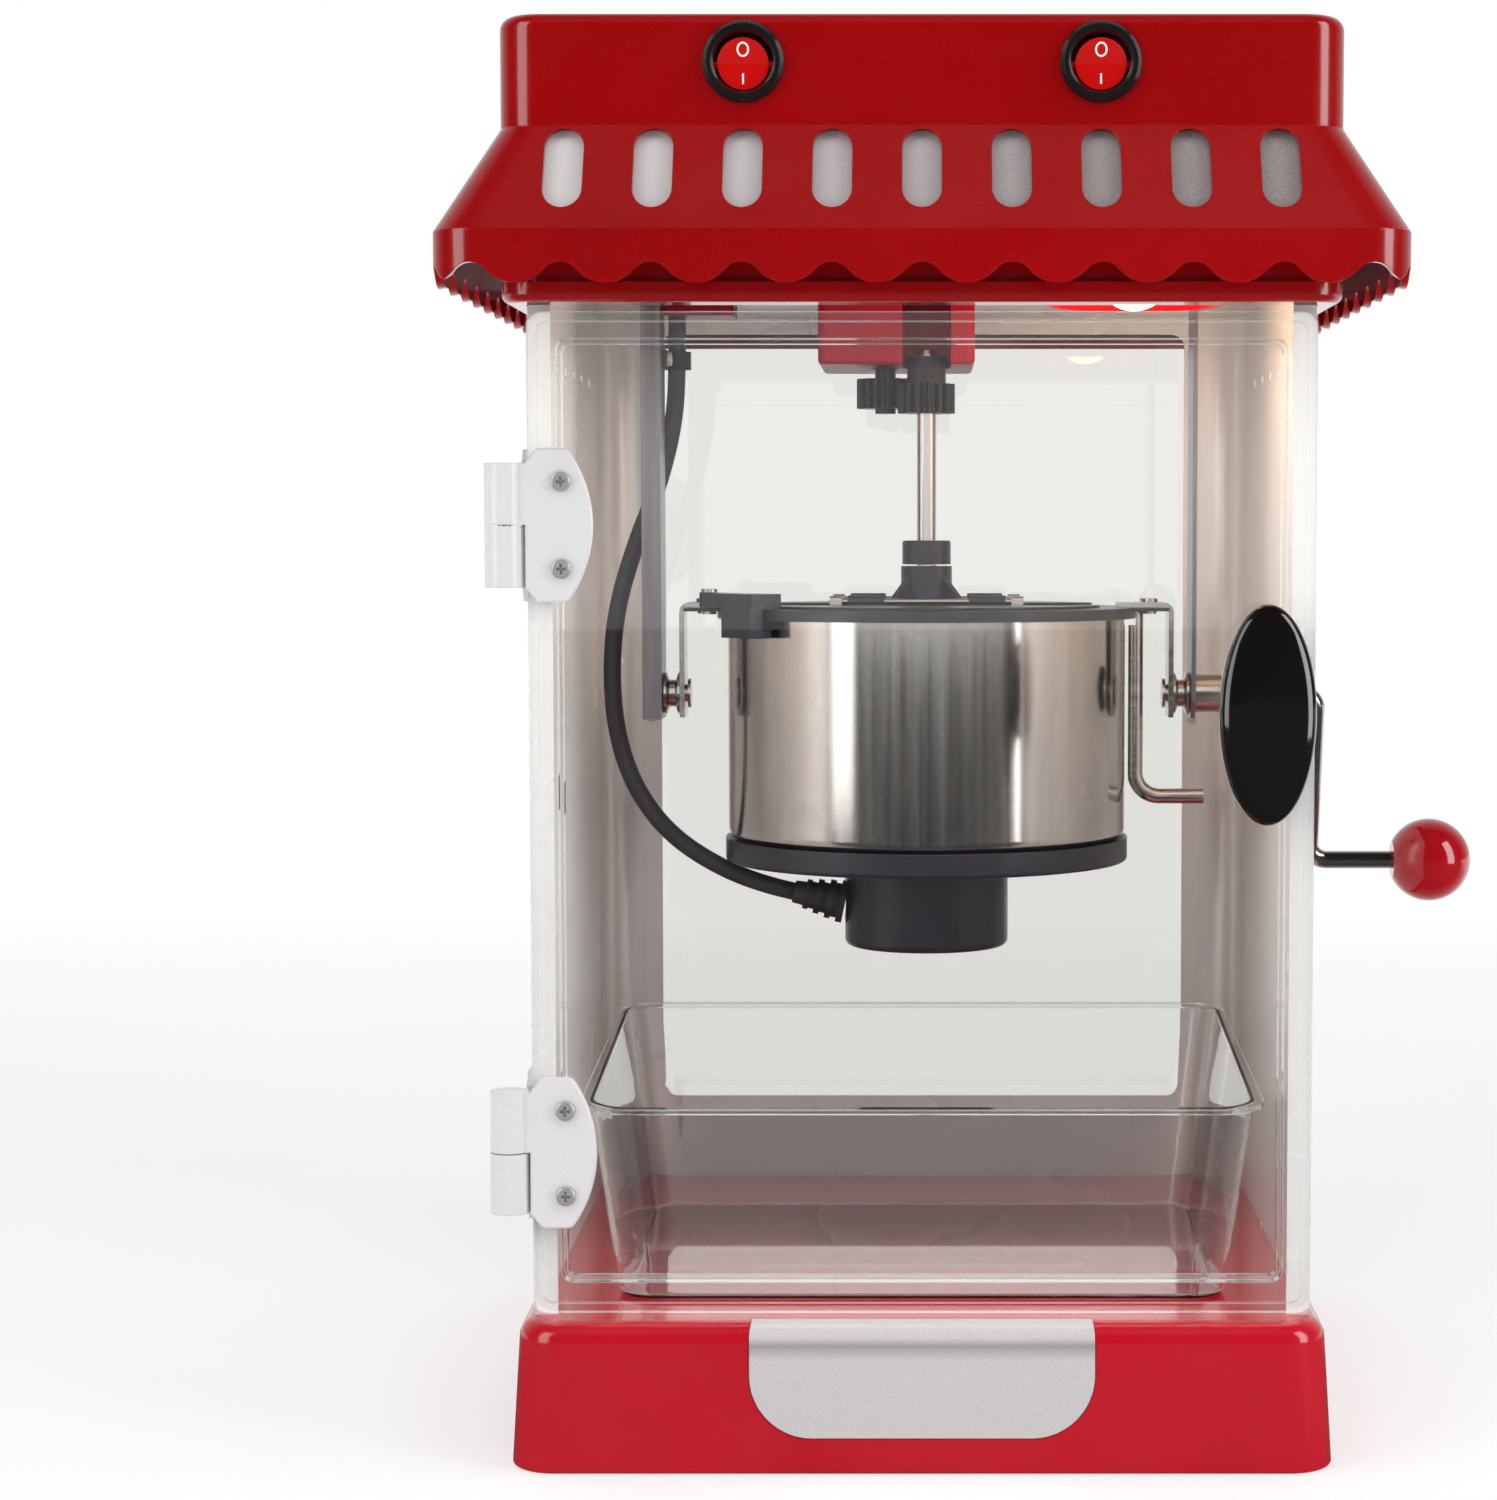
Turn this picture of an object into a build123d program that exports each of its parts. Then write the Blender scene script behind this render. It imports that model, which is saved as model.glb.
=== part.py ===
from build123d import *
import math
import os

os.makedirs("parts", exist_ok=True)

# Table-top kettle popcorn maker: a red carousel-style canopy and base, a
# three-sided polished cabinet with a clear front door, and a tilting kettle
# stirred by a small gear motor. Millimetres, +Z up, +X to the right, the front
# faces -Y. The origin is on the table, under the middle of the base.

# ---------------------------------------------------------------- dimensions
BASE_W, BASE_D = 250.0, 238.0          # base footprint
BASE_TOP = 45.0                        # top of the base, floor of the cabinet
CAB_X = 118.0                          # outer half width of the cabinet
CAB_FRONT, CAB_BACK = -104.0, 109.0    # outer front and back of the cabinet sheet
SHEET = 1.0                            # cabinet sheet thickness
EAVE = 18.0                            # overhang of the canopy all round
RIM_Z = 351.0                          # underside of the canopy's inner frame
SKIRT_LOW, SKIRT_TOP = 355.0, 370.6    # scalloped skirt
ROOF_TOP, CANOPY_TOP = 402.3, 435.0
CEIL_Z = 362.0                         # underside of the ceiling plate
PITCH_X, PITCH_Y = 26.1, 25.0          # spacing of scallops and vents
XK, YK = 1.5, 13.0                     # kettle axis
ZP = 229.4                             # height of the kettle's tilt axis
POT_R, POT_Z0, POT_Z1 = 67.0, 180.5, 257.0
LID_Z = 258.5                          # top face of the lid plate
SHAFT_R = 3.25
RUN = 0.06                             # radial running clearance
DOOR_FRONT, DOOR_BACK = -107.0, -104.6
DOOR_Z0, DOOR_Z1 = 46.5, 349.0
HX, HY = -125.0, -106.0                # door hinge axis
HINGE_Z = (96.0, 285.4)                # middles of the two hinges
SWITCH_X, SWITCH_Z = 52.3, 420.5
GLAND_X, GLAND_Z = -95.0, 419.5        # mains cord bush in the back wall
GEAR_TEETH, GEAR_M = 15, 1.15
GEAR_C = 17.32                         # centre distance of the two gears
GEAR_DIR = math.radians(143.5)         # from the kettle axis to the motor gear
MGX = XK + GEAR_C * math.cos(GEAR_DIR)
MGY = YK + GEAR_C * math.sin(GEAR_DIR)
LAMP_X, LAMP_Y = 67.5, -42.0

def gear_points(teeth, module, cx, cy, tooth_at, tip=0.93, root=1.2, slack=0.13):
    """Outline of an involute spur gear with one tooth centred on angle tooth_at."""
    rp = teeth * module / 2
    rb = rp * math.cos(math.radians(20))
    ra, rf = rp + tip * module, rp - root * module
    inv = lambda a: math.tan(a) - a
    psi = math.pi / (2 * teeth) - slack / rp + inv(math.radians(20))
    flank = []
    for i in range(7):
        r = rb + (ra - rb) * i / 6
        flank.append((r, psi - inv(math.acos(min(1.0, rb / r)))))
    pts = []
    for k in range(teeth):
        a0 = tooth_at + 2 * math.pi * k / teeth
        row = [(rf, -flank[0][1] - 0.02)] + [(r, -a) for r, a in flank]
        row += [(r, a) for r, a in reversed(flank)] + [(rf, flank[0][1] + 0.02)]
        pts += [(cx + r * math.cos(a0 + a), cy + r * math.sin(a0 + a)) for r, a in row]
    return pts


def on_kettle(x, y=0.0):
    return (XK + x, YK + y)


KPL = Plane(origin=(XK, YK, 0), x_dir=(1, 0, 0), z_dir=(0, -1, 0))   # radial section of the kettle
KAX = Axis((XK, YK, 0), (0, 0, 1))
TPL = Plane(origin=(0, YK, ZP), x_dir=(1, 0, 0), z_dir=(0, -1, 0))   # section along the tilt axis
TAX = Axis((0, YK, ZP), (1, 0, 0))

# ================================================================ base
def base_solid(shrink, top_shrink, edge):
    """Outer form of the base, drawn in by a constant amount on the sides and on top."""
    with BuildPart() as form:
        with BuildSketch(Plane.XY):
            RectangleRounded(BASE_W - 2 * shrink, BASE_D - 2 * shrink, 14)
        with BuildSketch(Plane.XY.offset(BASE_TOP - top_shrink)):
            RectangleRounded(BASE_W - 5 - 2 * shrink, BASE_D - 5 - 2 * shrink, 14)
        loft()
        fillet(form.faces().sort_by(Axis.Z)[-1].edges(), edge)
    return form.part


def badge_block(grow):
    """Upright block with the badge's outline: straight top, large lower corners."""
    w, z, r = 52.1 + grow, 11.0 - grow, 19.0 + grow
    with BuildPart() as block:
        with BuildSketch(Plane.XZ.offset(108.2 - grow)) as outline:
            with Locations((0, (z + 60) / 2)):
                Rectangle(2 * w, 60 - z)
            fillet(outline.vertices().group_by(Axis.Z)[0], r)
        extrude(amount=20)
    return block.part


seat_form = base_solid(1.2, 1.2, 4.9)
badge_outer = base_solid(-0.3, 0.0, 6.3)
badge_inner = base_solid(1.1, 1.1, 5.0)
seat_block, badge_cut = badge_block(0.15), badge_block(0.0)

with BuildPart() as badge_seat:   # what the badge's recess takes out of the base
    add(seat_block)
    add(seat_form, mode=Mode.SUBTRACT)

with BuildPart() as badge_plate:   # silver badge panel wrapped over the base's front edge, left blank
    add(badge_outer)
    add(badge_cut, mode=Mode.INTERSECT)
    add(badge_inner, mode=Mode.SUBTRACT)
badge_plate.part.label = "badge_plate"
export_step(badge_plate.part, "parts/badge_plate.step")

outer_form = base_solid(0, 0, 6.0)
with BuildPart() as base_shell:   # hollow moulded base, open underneath, with four screw bosses
    add(outer_form)
    fillet(base_shell.faces().sort_by(Axis.Z)[0].edges(), 1.2)
    with BuildSketch(Plane.XY):
        RectangleRounded(BASE_W - 6, BASE_D - 6, 11)
    with BuildSketch(Plane.XY.offset(BASE_TOP - 3)):
        RectangleRounded(BASE_W - 11, BASE_D - 11, 11)
    loft(mode=Mode.SUBTRACT)
    add(badge_seat.part, mode=Mode.SUBTRACT)
    with BuildSketch(Plane.XY.offset(5.0)):
        with GridLocations(2 * 108, 2 * 102, 2, 2):
            Circle(4.5)
    extrude(amount=BASE_TOP - 2.5 - 5.0)
    with BuildSketch(Plane.XY.offset(5.0)):
        with GridLocations(2 * 108, 2 * 102, 2, 2):
            Circle(1.5)
    extrude(amount=14, mode=Mode.SUBTRACT)
base_shell.part.label = "base_shell"
export_step(base_shell.part, "parts/base_shell.step")

with BuildPart() as base_cover:   # bottom closing plate
    with BuildSketch(Plane.XY.offset(3.0)):
        RectangleRounded(BASE_W - 7.4, BASE_D - 7.4, 10)
        with GridLocations(2 * 108, 2 * 102, 2, 2):
            Circle(1.5, mode=Mode.SUBTRACT)
        with GridLocations(14, 0, 9, 1):
            with Locations((0, -40), (0, 40)):
                SlotOverall(30, 4, rotation=90, mode=Mode.SUBTRACT)
    extrude(amount=2.0)
base_cover.part.label = "base_cover"
export_step(base_cover.part, "parts/base_cover.step")

with BuildPart() as rubber_feet:   # four round rubber feet under the cover
    with BuildSketch(Plane.XY):
        with GridLocations(2 * 92, 2 * 88, 2, 2):
            Circle(10)
    extrude(amount=3.0)
    chamfer(rubber_feet.edges().group_by(Axis.Z)[0], 1.0)
rubber_feet.part.label = "rubber_feet"
export_step(rubber_feet.part, "parts/rubber_feet.step")

# ================================================================ cabinet sheet
with BuildPart() as wrap_panel:   # left side, back and right side folded from one polished sheet
    with BuildSketch(Plane.XY.offset(BASE_TOP)) as outer:
        with Locations((0, (CAB_FRONT + CAB_BACK) / 2)):
            Rectangle(2 * CAB_X, CAB_BACK - CAB_FRONT)
        fillet(outer.vertices().group_by(Axis.Y)[-1], 16)
    extrude(amount=CEIL_Z - BASE_TOP)
    with BuildSketch(Plane.XY.offset(BASE_TOP)) as inner:
        with Locations((0, (CAB_FRONT + CAB_BACK) / 2)):
            Rectangle(2 * (CAB_X - SHEET), CAB_BACK - CAB_FRONT - 2 * SHEET)
        fillet(inner.vertices().group_by(Axis.Y)[-1], 15)
    extrude(amount=CEIL_Z - BASE_TOP, mode=Mode.SUBTRACT)
    # the front is open between two narrow returns
    with BuildSketch(Plane.XY.offset(BASE_TOP)):
        with Locations((0, CAB_FRONT)):
            Rectangle(2 * 111.0, 8)
    extrude(amount=CEIL_Z - BASE_TOP, mode=Mode.SUBTRACT)
    # window in the back
    with BuildSketch(Plane.XZ.offset(-120)):
        with Locations((0, (75 + 356) / 2)):
            RectangleRounded(192, 356 - 75, 5)
    extrude(amount=30, mode=Mode.SUBTRACT)
    # a row of vents high on each side
    with BuildSketch(Plane.YZ.offset(-125)):
        with Locations(*[(-61.2 + 24.5 * i, 336) for i in range(6)]):
            SlotOverall(8, 3.2)
    extrude(amount=250, mode=Mode.SUBTRACT)
    # holes for hinge bracket screws, crank bush and window rivets
    with BuildSketch(Plane.YZ.offset(-120)):
        with Locations(*[(-88, z + d) for z in HINGE_Z for d in (-13, 13)]):
            Circle(1.5)
    extrude(amount=10, mode=Mode.SUBTRACT)
    with BuildSketch(Plane.YZ.offset(110)):
        with Locations((YK, ZP)):
            Circle(6.0)
    extrude(amount=10, mode=Mode.SUBTRACT)
    with BuildSketch(Plane.XZ.offset(-115)):
        with Locations(*[(x, z) for x in (-99.5, 99.5) for z in (90, 215, 340)]):
            Circle(1.5)
    extrude(amount=15, mode=Mode.SUBTRACT)
wrap_panel.part.label = "wrap_panel"
export_step(wrap_panel.part, "parts/wrap_panel.step")

with BuildPart() as rear_window:   # clear pane riveted behind the back opening
    with BuildSketch(Plane.XZ.offset(-CAB_BACK - 1.5)):
        with Locations((0, 215)):
            RectangleRounded(205, 287, 4)
        with Locations(*[(x, z) for x in (-99.5, 99.5) for z in (90, 215, 340)]):
            Circle(1.5, mode=Mode.SUBTRACT)
    extrude(amount=1.5)
rear_window.part.label = "rear_window"
export_step(rear_window.part, "parts/rear_window.step")

# ================================================================ canopy
with BuildPart() as top_frame:   # tray-like inner frame that the cabinet goes up into
    with BuildSketch(Plane.XY.offset(RIM_Z)):
        RectangleRounded(BASE_W, BASE_D, 12)
    extrude(amount=6)
    fillet(top_frame.edges().group_by(Axis.Z)[0], 2.6)
    with BuildSketch(Plane.XY.offset(RIM_Z + 6)):
        RectangleRounded(243, 231, 10)
    extrude(amount=ROOF_TOP + 0.3 - RIM_Z - 6)
    with BuildSketch(Plane.XY.offset(ROOF_TOP + 0.3)):
        RectangleRounded(244.6, 232.6, 11.5)
    extrude(amount=7)
    with BuildSketch(Plane.XY.offset(RIM_Z + 3)):
        RectangleRounded(239, 227, 8)
    extrude(amount=70, mode=Mode.SUBTRACT)
    with BuildSketch(Plane.XY.offset(RIM_Z - 5)):
        with Locations((0, 3.2)):
            RectangleRounded(2 * 118.4, 215.6, 0.6)
    extrude(amount=20, mode=Mode.SUBTRACT)
top_frame.part.label = "top_frame"
export_step(top_frame.part, "parts/top_frame.step")


def scallop_tool(pitch, plane):
    """Solid below a run of tangent arcs: narrow crests at every pitch, broad lobes between."""
    a = 4.6
    s = 6.0 / (pitch / 2)
    zj = SKIRT_LOW + 6.0 - s * a
    with BuildPart() as tool:
        with BuildSketch(plane):
            with BuildLine():
                for k in range(-6, 7):
                    c = k * pitch
                    ThreePointArc((c - a, zj), (c, SKIRT_LOW + 6.0), (c + a, zj))
                    if k < 6:
                        ThreePointArc((c + a, zj), (c + pitch / 2, SKIRT_LOW), (c + pitch - a, zj))
                Polyline((6 * pitch + a, zj), (6 * pitch + a, 340), (-6 * pitch - a, 340), (-6 * pitch - a, zj))
            make_face()
        extrude(amount=200, both=True)
    return tool.part


front_scallops = scallop_tool(PITCH_X, Plane.XZ)
side_scallops = scallop_tool(PITCH_Y, Plane.YZ)

with BuildPart() as canopy_shell:   # carousel roof: box top, flared roof and scalloped skirt in one moulding
    with BuildSketch(Plane.XY.offset(SKIRT_LOW)):
        RectangleRounded(BASE_W + 2 * EAVE, BASE_D + 2 * EAVE, 15)
    extrude(amount=SKIRT_TOP - SKIRT_LOW)
    with BuildSketch(Plane.XY.offset(SKIRT_TOP)):
        RectangleRounded(BASE_W + 2 * EAVE, BASE_D + 2 * EAVE, 15)
    with BuildSketch(Plane.XY.offset(ROOF_TOP)):
        RectangleRounded(BASE_W, BASE_D, 13)
    loft()
    with BuildSketch(Plane.XY.offset(ROOF_TOP)):
        RectangleRounded(BASE_W, BASE_D, 13)
    extrude(amount=CANOPY_TOP - ROOF_TOP)
    fillet(canopy_shell.faces().sort_by(Axis.Z)[-1].edges(), 4)
    # hollow
    with BuildSketch(Plane.XY.offset(SKIRT_LOW)):
        RectangleRounded(BASE_W + 2 * EAVE - 5, BASE_D + 2 * EAVE - 5, 12.5)
    extrude(amount=SKIRT_TOP - SKIRT_LOW, mode=Mode.SUBTRACT)
    with BuildSketch(Plane.XY.offset(SKIRT_TOP)):
        RectangleRounded(BASE_W + 2 * EAVE - 5, BASE_D + 2 * EAVE - 5, 12.5)
    with BuildSketch(Plane.XY.offset(ROOF_TOP)):
        RectangleRounded(BASE_W - 5, BASE_D - 5, 10.5)
    loft(mode=Mode.SUBTRACT)
    with BuildSketch(Plane.XY.offset(ROOF_TOP)):
        RectangleRounded(BASE_W - 5, BASE_D - 5, 10.5)
    extrude(amount=CANOPY_TOP - ROOF_TOP - 2.5, mode=Mode.SUBTRACT)
    # scallops on all four sides
    add(front_scallops, mode=Mode.SUBTRACT)
    add(side_scallops, mode=Mode.SUBTRACT)
    # vents through the roof slopes
    with BuildSketch(Plane.XZ):
        with Locations(*[(k * PITCH_X, 389) for k in range(-4, 5)]):
            SlotOverall(24, 11.5, rotation=90)
    extrude(amount=160, both=True, mode=Mode.SUBTRACT)
    with BuildSketch(Plane.YZ):
        with Locations(*[(k * PITCH_Y, 389) for k in range(-4, 5)]):
            SlotOverall(24, 11.5, rotation=90)
    extrude(amount=160, both=True, mode=Mode.SUBTRACT)
    # switch holes in front, cord hole at the back
    with BuildSketch(Plane.XZ.offset(100)):
        with Locations((-SWITCH_X, SWITCH_Z), (SWITCH_X, SWITCH_Z)):
            Circle(10.0)
    extrude(amount=30, mode=Mode.SUBTRACT)
    with BuildSketch(Plane.XZ.offset(-125)):
        with Locations((GLAND_X, GLAND_Z)):
            RectangleRounded(13, 13, 1.5)
    extrude(amount=20, mode=Mode.SUBTRACT)
canopy_shell.part.label = "canopy_shell"
export_step(canopy_shell.part, "parts/canopy_shell.step")

with BuildPart() as vent_backing:   # silver sheet frustum that shows through the vents
    with BuildSketch(Plane.XY.offset(374)):
        RectangleRounded(2 * 138.1, 2 * 132.1, 11.5)
    with BuildSketch(Plane.XY.offset(401)):
        RectangleRounded(2 * 122.8, 2 * 116.8, 10.3)
    loft()
    with BuildSketch(Plane.XY.offset(374)):
        RectangleRounded(2 * 137.1, 2 * 131.1, 10.5)
    with BuildSketch(Plane.XY.offset(401)):
        RectangleRounded(2 * 121.8, 2 * 115.8, 9.3)
    loft(mode=Mode.SUBTRACT)
vent_backing.part.label = "vent_backing"
export_step(vent_backing.part, "parts/vent_backing.step")

with BuildPart() as ceiling_plate:   # steel plate that closes the cabinet's top and carries everything hung from it
    with BuildSketch(Plane.XY.offset(CEIL_Z)):
        RectangleRounded(238.4, 226.4, 7.5)
        with Locations((MGX, MGY)):
            Circle(5.0, mode=Mode.SUBTRACT)
        with Locations((LAMP_X, LAMP_Y)):
            Circle(15.0, mode=Mode.SUBTRACT)
        with Locations((-99, 13), (102, 8), (102, 18), (-30, 1), (13, 53), (-77.5, 42)):
            Circle(1.5, mode=Mode.SUBTRACT)
    extrude(amount=1.0)
ceiling_plate.part.label = "ceiling_plate"
export_step(ceiling_plate.part, "parts/ceiling_plate.step")

# ---------------------------------------------------------------- motor and housing
with BuildPart() as motor_housing:   # red box under the ceiling, notched in front for the stirrer shaft
    with BuildSketch(Plane.XY.offset(339)):
        with Locations((-8.5, 27)):
            RectangleRounded(52, 62, 3)
    extrude(amount=22.9)
    fillet(motor_housing.edges().group_by(Axis.Z)[0], 1.6)
    with BuildSketch(Plane.XY.offset(341)):
        with Locations((-8.5, 27)):
            RectangleRounded(48, 58, 1.5)
    extrude(amount=20.9, mode=Mode.SUBTRACT)
    with BuildSketch(Plane.XY.offset(339.5)):
        with Locations((XK, 10)):
            Rectangle(20, 28)
    extrude(amount=22.4)
    with BuildSketch(Plane.XY.offset(335)):
        with Locations((XK, 8)):
            Rectangle(16, 28)
    extrude(amount=30, mode=Mode.SUBTRACT)
    with BuildSketch(Plane.XY.offset(335)):
        with Locations((MGX, MGY)):
            Circle(5.0)
    extrude(amount=6.5, mode=Mode.SUBTRACT)
    with BuildSketch(Plane.XY.offset(352)):   # screw bosses
        with Locations((-30, 1), (13, 53)):
            Circle(3.4)
    extrude(amount=9.9)
    with BuildSketch(Plane.XY.offset(352)):
        with Locations((-30, 1), (13, 53)):
            Circle(1.5)
    extrude(amount=9.9, mode=Mode.SUBTRACT)
motor_housing.part.label = "motor_housing"
export_step(motor_housing.part, "parts/motor_housing.step")

with BuildPart() as gear_motor:   # flat synchronous gear motor standing on the ceiling plate
    with BuildSketch(Plane.XY.offset(CEIL_Z + 1.0)):
        with Locations((MGX, MGY + 12.5)):
            Circle(24.5)
    extrude(amount=16)
    with BuildSketch(Plane.XY.offset(CEIL_Z + 17.0)):
        with Locations((MGX, MGY + 12.5)):
            Circle(21)
    extrude(amount=5)
    fillet(gear_motor.edges().group_by(Axis.Z)[-1], 1.5)
    with BuildSketch(Plane.XY.offset(CEIL_Z + 1.0)):
        with Locations((MGX, MGY)):
            Circle(3.5 + RUN)
    extrude(amount=9, mode=Mode.SUBTRACT)
    with BuildSketch(Plane.XY.offset(CEIL_Z + 1.0)):
        with Locations((MGX, MGY + 39.5)):
            Rectangle(12, 10)
    extrude(amount=8)
gear_motor.part.label = "gear_motor"
export_step(gear_motor.part, "parts/gear_motor.step")

with BuildPart() as drive_gear:   # motor's output shaft with its pinion
    with BuildSketch(Plane.XY.offset(325.5)):
        with BuildLine():
            Polyline(*gear_points(GEAR_TEETH, GEAR_M, MGX, MGY, GEAR_DIR + math.pi), close=True)
        make_face()
    extrude(amount=10)
    with BuildSketch(Plane.XY.offset(323.8)):
        with Locations((MGX, MGY)):
            Circle(3.5)
    extrude(amount=371 - 323.8)
drive_gear.part.label = "drive_gear"
export_step(drive_gear.part, "parts/drive_gear.step")

# ---------------------------------------------------------------- lamp
LPL = Plane(origin=(LAMP_X, LAMP_Y, 0), x_dir=(1, 0, 0), z_dir=(0, -1, 0))
LAX = Axis((LAMP_X, LAMP_Y, 0), (0, 0, 1))
with BuildPart() as lamp_reflector:   # red dish round the lamp
    with BuildSketch(LPL):
        with BuildLine():
            Polyline((14.2, 361.9), (28, 361.9), (28, 355.4), (26.6, 355.4), (24.5, 358.4), (14.2, 360.2), close=True)
        make_face()
    revolve(axis=LAX)
lamp_reflector.part.label = "lamp_reflector"
export_step(lamp_reflector.part, "parts/lamp_reflector.step")

with BuildPart() as lamp_bulb:   # small screw-cap lamp, glass and cap
    with BuildSketch(LPL):
        with BuildLine():
            Line((0, 353.8), (0, 404))
            Line((0, 404), (3, 404))
            Line((3, 404), (6.8, 401))
            Line((6.8, 401), (6.8, 388))
            Spline((6.8, 388), (9.5, 379), (12.8, 366.6), tangents=[(0, -1), (0, -1)])
            ThreePointArc((12.8, 366.6), (12.8 * math.sin(math.radians(45)), 366.6 - 12.8 * math.cos(math.radians(45))), (0, 353.8))
        make_face()
    revolve(axis=LAX)
lamp_bulb.part.label = "lamp_bulb"
export_step(lamp_bulb.part, "parts/lamp_bulb.step")

with BuildPart() as lamp_socket:   # lamp holder on two legs from the ceiling plate
    with BuildSketch(LPL):
        with BuildLine():
            Polyline((6.9, 389), (13.5, 389), (13.5, 411), (0, 411), (0, 404.2), (6.9, 404.2), close=True)
        make_face()
    revolve(axis=LAX)
    with BuildSketch(Plane.XY.offset(CEIL_Z + 1)):
        with Locations((LAMP_X - 18, LAMP_Y), (LAMP_X + 18, LAMP_Y)):
            Rectangle(3, 12)
    extrude(amount=32)
    with BuildSketch(Plane.XY.offset(CEIL_Z + 29)):
        with Locations((LAMP_X - 15, LAMP_Y), (LAMP_X + 15, LAMP_Y)):
            Rectangle(8, 12)
    extrude(amount=4)
lamp_socket.part.label = "lamp_socket"
export_step(lamp_socket.part, "parts/lamp_socket.step")

# ---------------------------------------------------------------- hangers
with BuildPart() as hanger_left:   # folded strip that carries the kettle's left pivot
    with BuildSketch(Plane.YZ.offset(-88.8)):
        with Locations((YK, (221 + 361.9) / 2)):
            Rectangle(20, 361.9 - 221)
        with Locations((YK, ZP)):
            Circle(3.0 + RUN, mode=Mode.SUBTRACT)
        with Locations((20, 342)):
            Circle(1.2, mode=Mode.SUBTRACT)
    extrude(amount=1.5)
    with BuildSketch(Plane.XY.offset(221)):
        with Locations((-90.5, 3.75)):
            Rectangle(6.4, 1.5)
    extrude(amount=140.9)
    with BuildSketch(Plane.XY.offset(360.4)):
        with Locations((-97, YK)):
            Rectangle(19.4, 20)
        with Locations((-99, 13)):
            Circle(1.5, mode=Mode.SUBTRACT)
    extrude(amount=1.5)
hanger_left.part.label = "hanger_left"
export_step(hanger_left.part, "parts/hanger_left.step")

with BuildPart() as hanger_right:   # plain strip that carries the crank side
    with BuildSketch(Plane.YZ.offset(90.3)) as hr:
        with Locations((YK, (221 + 361.9) / 2)):
            Rectangle(20, 361.9 - 221)
        fillet(hr.vertices().group_by(Axis.Y)[0], 7)
        with Locations((YK, ZP)):
            Circle(3.0 + RUN, mode=Mode.SUBTRACT)
    extrude(amount=1.5)
    with BuildSketch(Plane.XY.offset(360.4)):
        with Locations((99.15, YK)):
            Rectangle(17.7, 20)
        with Locations((102, 8), (102, 18)):
            Circle(1.5, mode=Mode.SUBTRACT)
    extrude(amount=1.5)
hanger_right.part.label = "hanger_right"
export_step(hanger_right.part, "parts/hanger_right.step")

# ---------------------------------------------------------------- lead socket and clip
with BuildPart() as lead_socket:   # red box on the ceiling that the kettle's lead comes out of
    with BuildSketch(Plane.XY.offset(357)):
        with Locations((-77.5, 36)):
            RectangleRounded(27, 24, 2)
    extrude(amount=4.9)
    with BuildSketch(Plane.XY.offset(359)):
        with Locations((-77.5, 42)):
            Circle(1.5)
    extrude(amount=2.9, mode=Mode.SUBTRACT)
lead_socket.part.label = "lead_socket"
export_step(lead_socket.part, "parts/lead_socket.step")

LEAD = [(-83.5, 30.0, 357.0), (-83.5, 30.0, 342.0), (-84.5, 31.0, 322.0), (-90.0, 31.5, 300.0),
        (-98.5, 28.0, 278.5), (-104.5, 24.5, 257.0), (-106.0, 21.5, 236.0), (-104.0, 18.5, 215.0),
        (-97.5, 16.0, 196.5), (-85.5, 14.2, 181.0), (-68.5, 13.2, 170.0), (-52.0, 13.0, 163.8), (-43.5, 13.0, 162.0)]
LEAD_R = 3.0

with BuildPart() as lead_clip:   # cable clip that holds the lead against the left hanger
    with BuildSketch(Plane.XY.offset(339)):
        with Locations((-83.5, 30.0)):
            Circle(4.7)
        with Locations((-86.7, 21.5)):
            Rectangle(1.2, 16)
        with Locations((-83.5, 30.0)):
            Circle(3.5, mode=Mode.SUBTRACT)
    extrude(amount=6)
    with BuildSketch(Plane.YZ.offset(-88)):
        with Locations((20, 342)):
            Circle(1.2)
    extrude(amount=4, mode=Mode.SUBTRACT)
lead_clip.part.label = "lead_clip"
export_step(lead_clip.part, "parts/lead_clip.step")


def turn_radii(points, share=0.45):
    out = []
    for a, b, c in zip(points, points[1:], points[2:]):
        u, v = Vector(*b) - Vector(*a), Vector(*c) - Vector(*b)
        turn = math.radians(u.get_angle(v))
        out.append(share * min(u.length, v.length) / math.tan(turn / 2))
    return out


radii = turn_radii(LEAD)
print("lead radii", [round(r, 1) for r in radii])
with BuildPart() as kettle_lead:   # mains lead inside the cabinet, from the ceiling to the kettle's heater
    with BuildLine() as lead_path:
        FilletPolyline(*LEAD, radius=radii)
    with BuildSketch(Plane(origin=LEAD[0], z_dir=(0, 0, -1))):
        Circle(LEAD_R)
    sweep(path=lead_path.wires()[0])
lead_len = sum(e.length for e in lead_path.edges())
print("lead length", round(lead_len, 1), "volume", round(kettle_lead.part.volume, 1), "expected", round(lead_len * math.pi * LEAD_R**2, 1))
kettle_lead.part.label = "kettle_lead"
export_step(kettle_lead.part, "parts/kettle_lead.step")

# ---------------------------------------------------------------- switches, gland, terminal block
ROCK_Y = -113.6
with BuildPart() as switch_housings:   # two round rocker switch bodies with black bezels
    for sx in (-SWITCH_X, SWITCH_X):
        with BuildSketch(Plane(origin=(sx, 0, SWITCH_Z), x_dir=(1, 0, 0), z_dir=(0, 0, 1))):
            with BuildLine():
                Polyline((0, -96), (9.8, -96), (9.8, -119.0), (11.9, -119.0), (11.9, -120.2), (10.9, -121.6), (9.4, -121.6), (8.6, -120.4), (8.6, -109.5), (0, -109.5), close=True)
            make_face()
        revolve(axis=Axis((sx, 0, SWITCH_Z), (0, 1, 0)))
    for sx in (-SWITCH_X, SWITCH_X):
        with BuildSketch(Plane.YZ.offset(sx)):
            with Locations((ROCK_Y, SWITCH_Z)):
                Circle(1.2)
        extrude(amount=10.5, both=True, mode=Mode.SUBTRACT)
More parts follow.
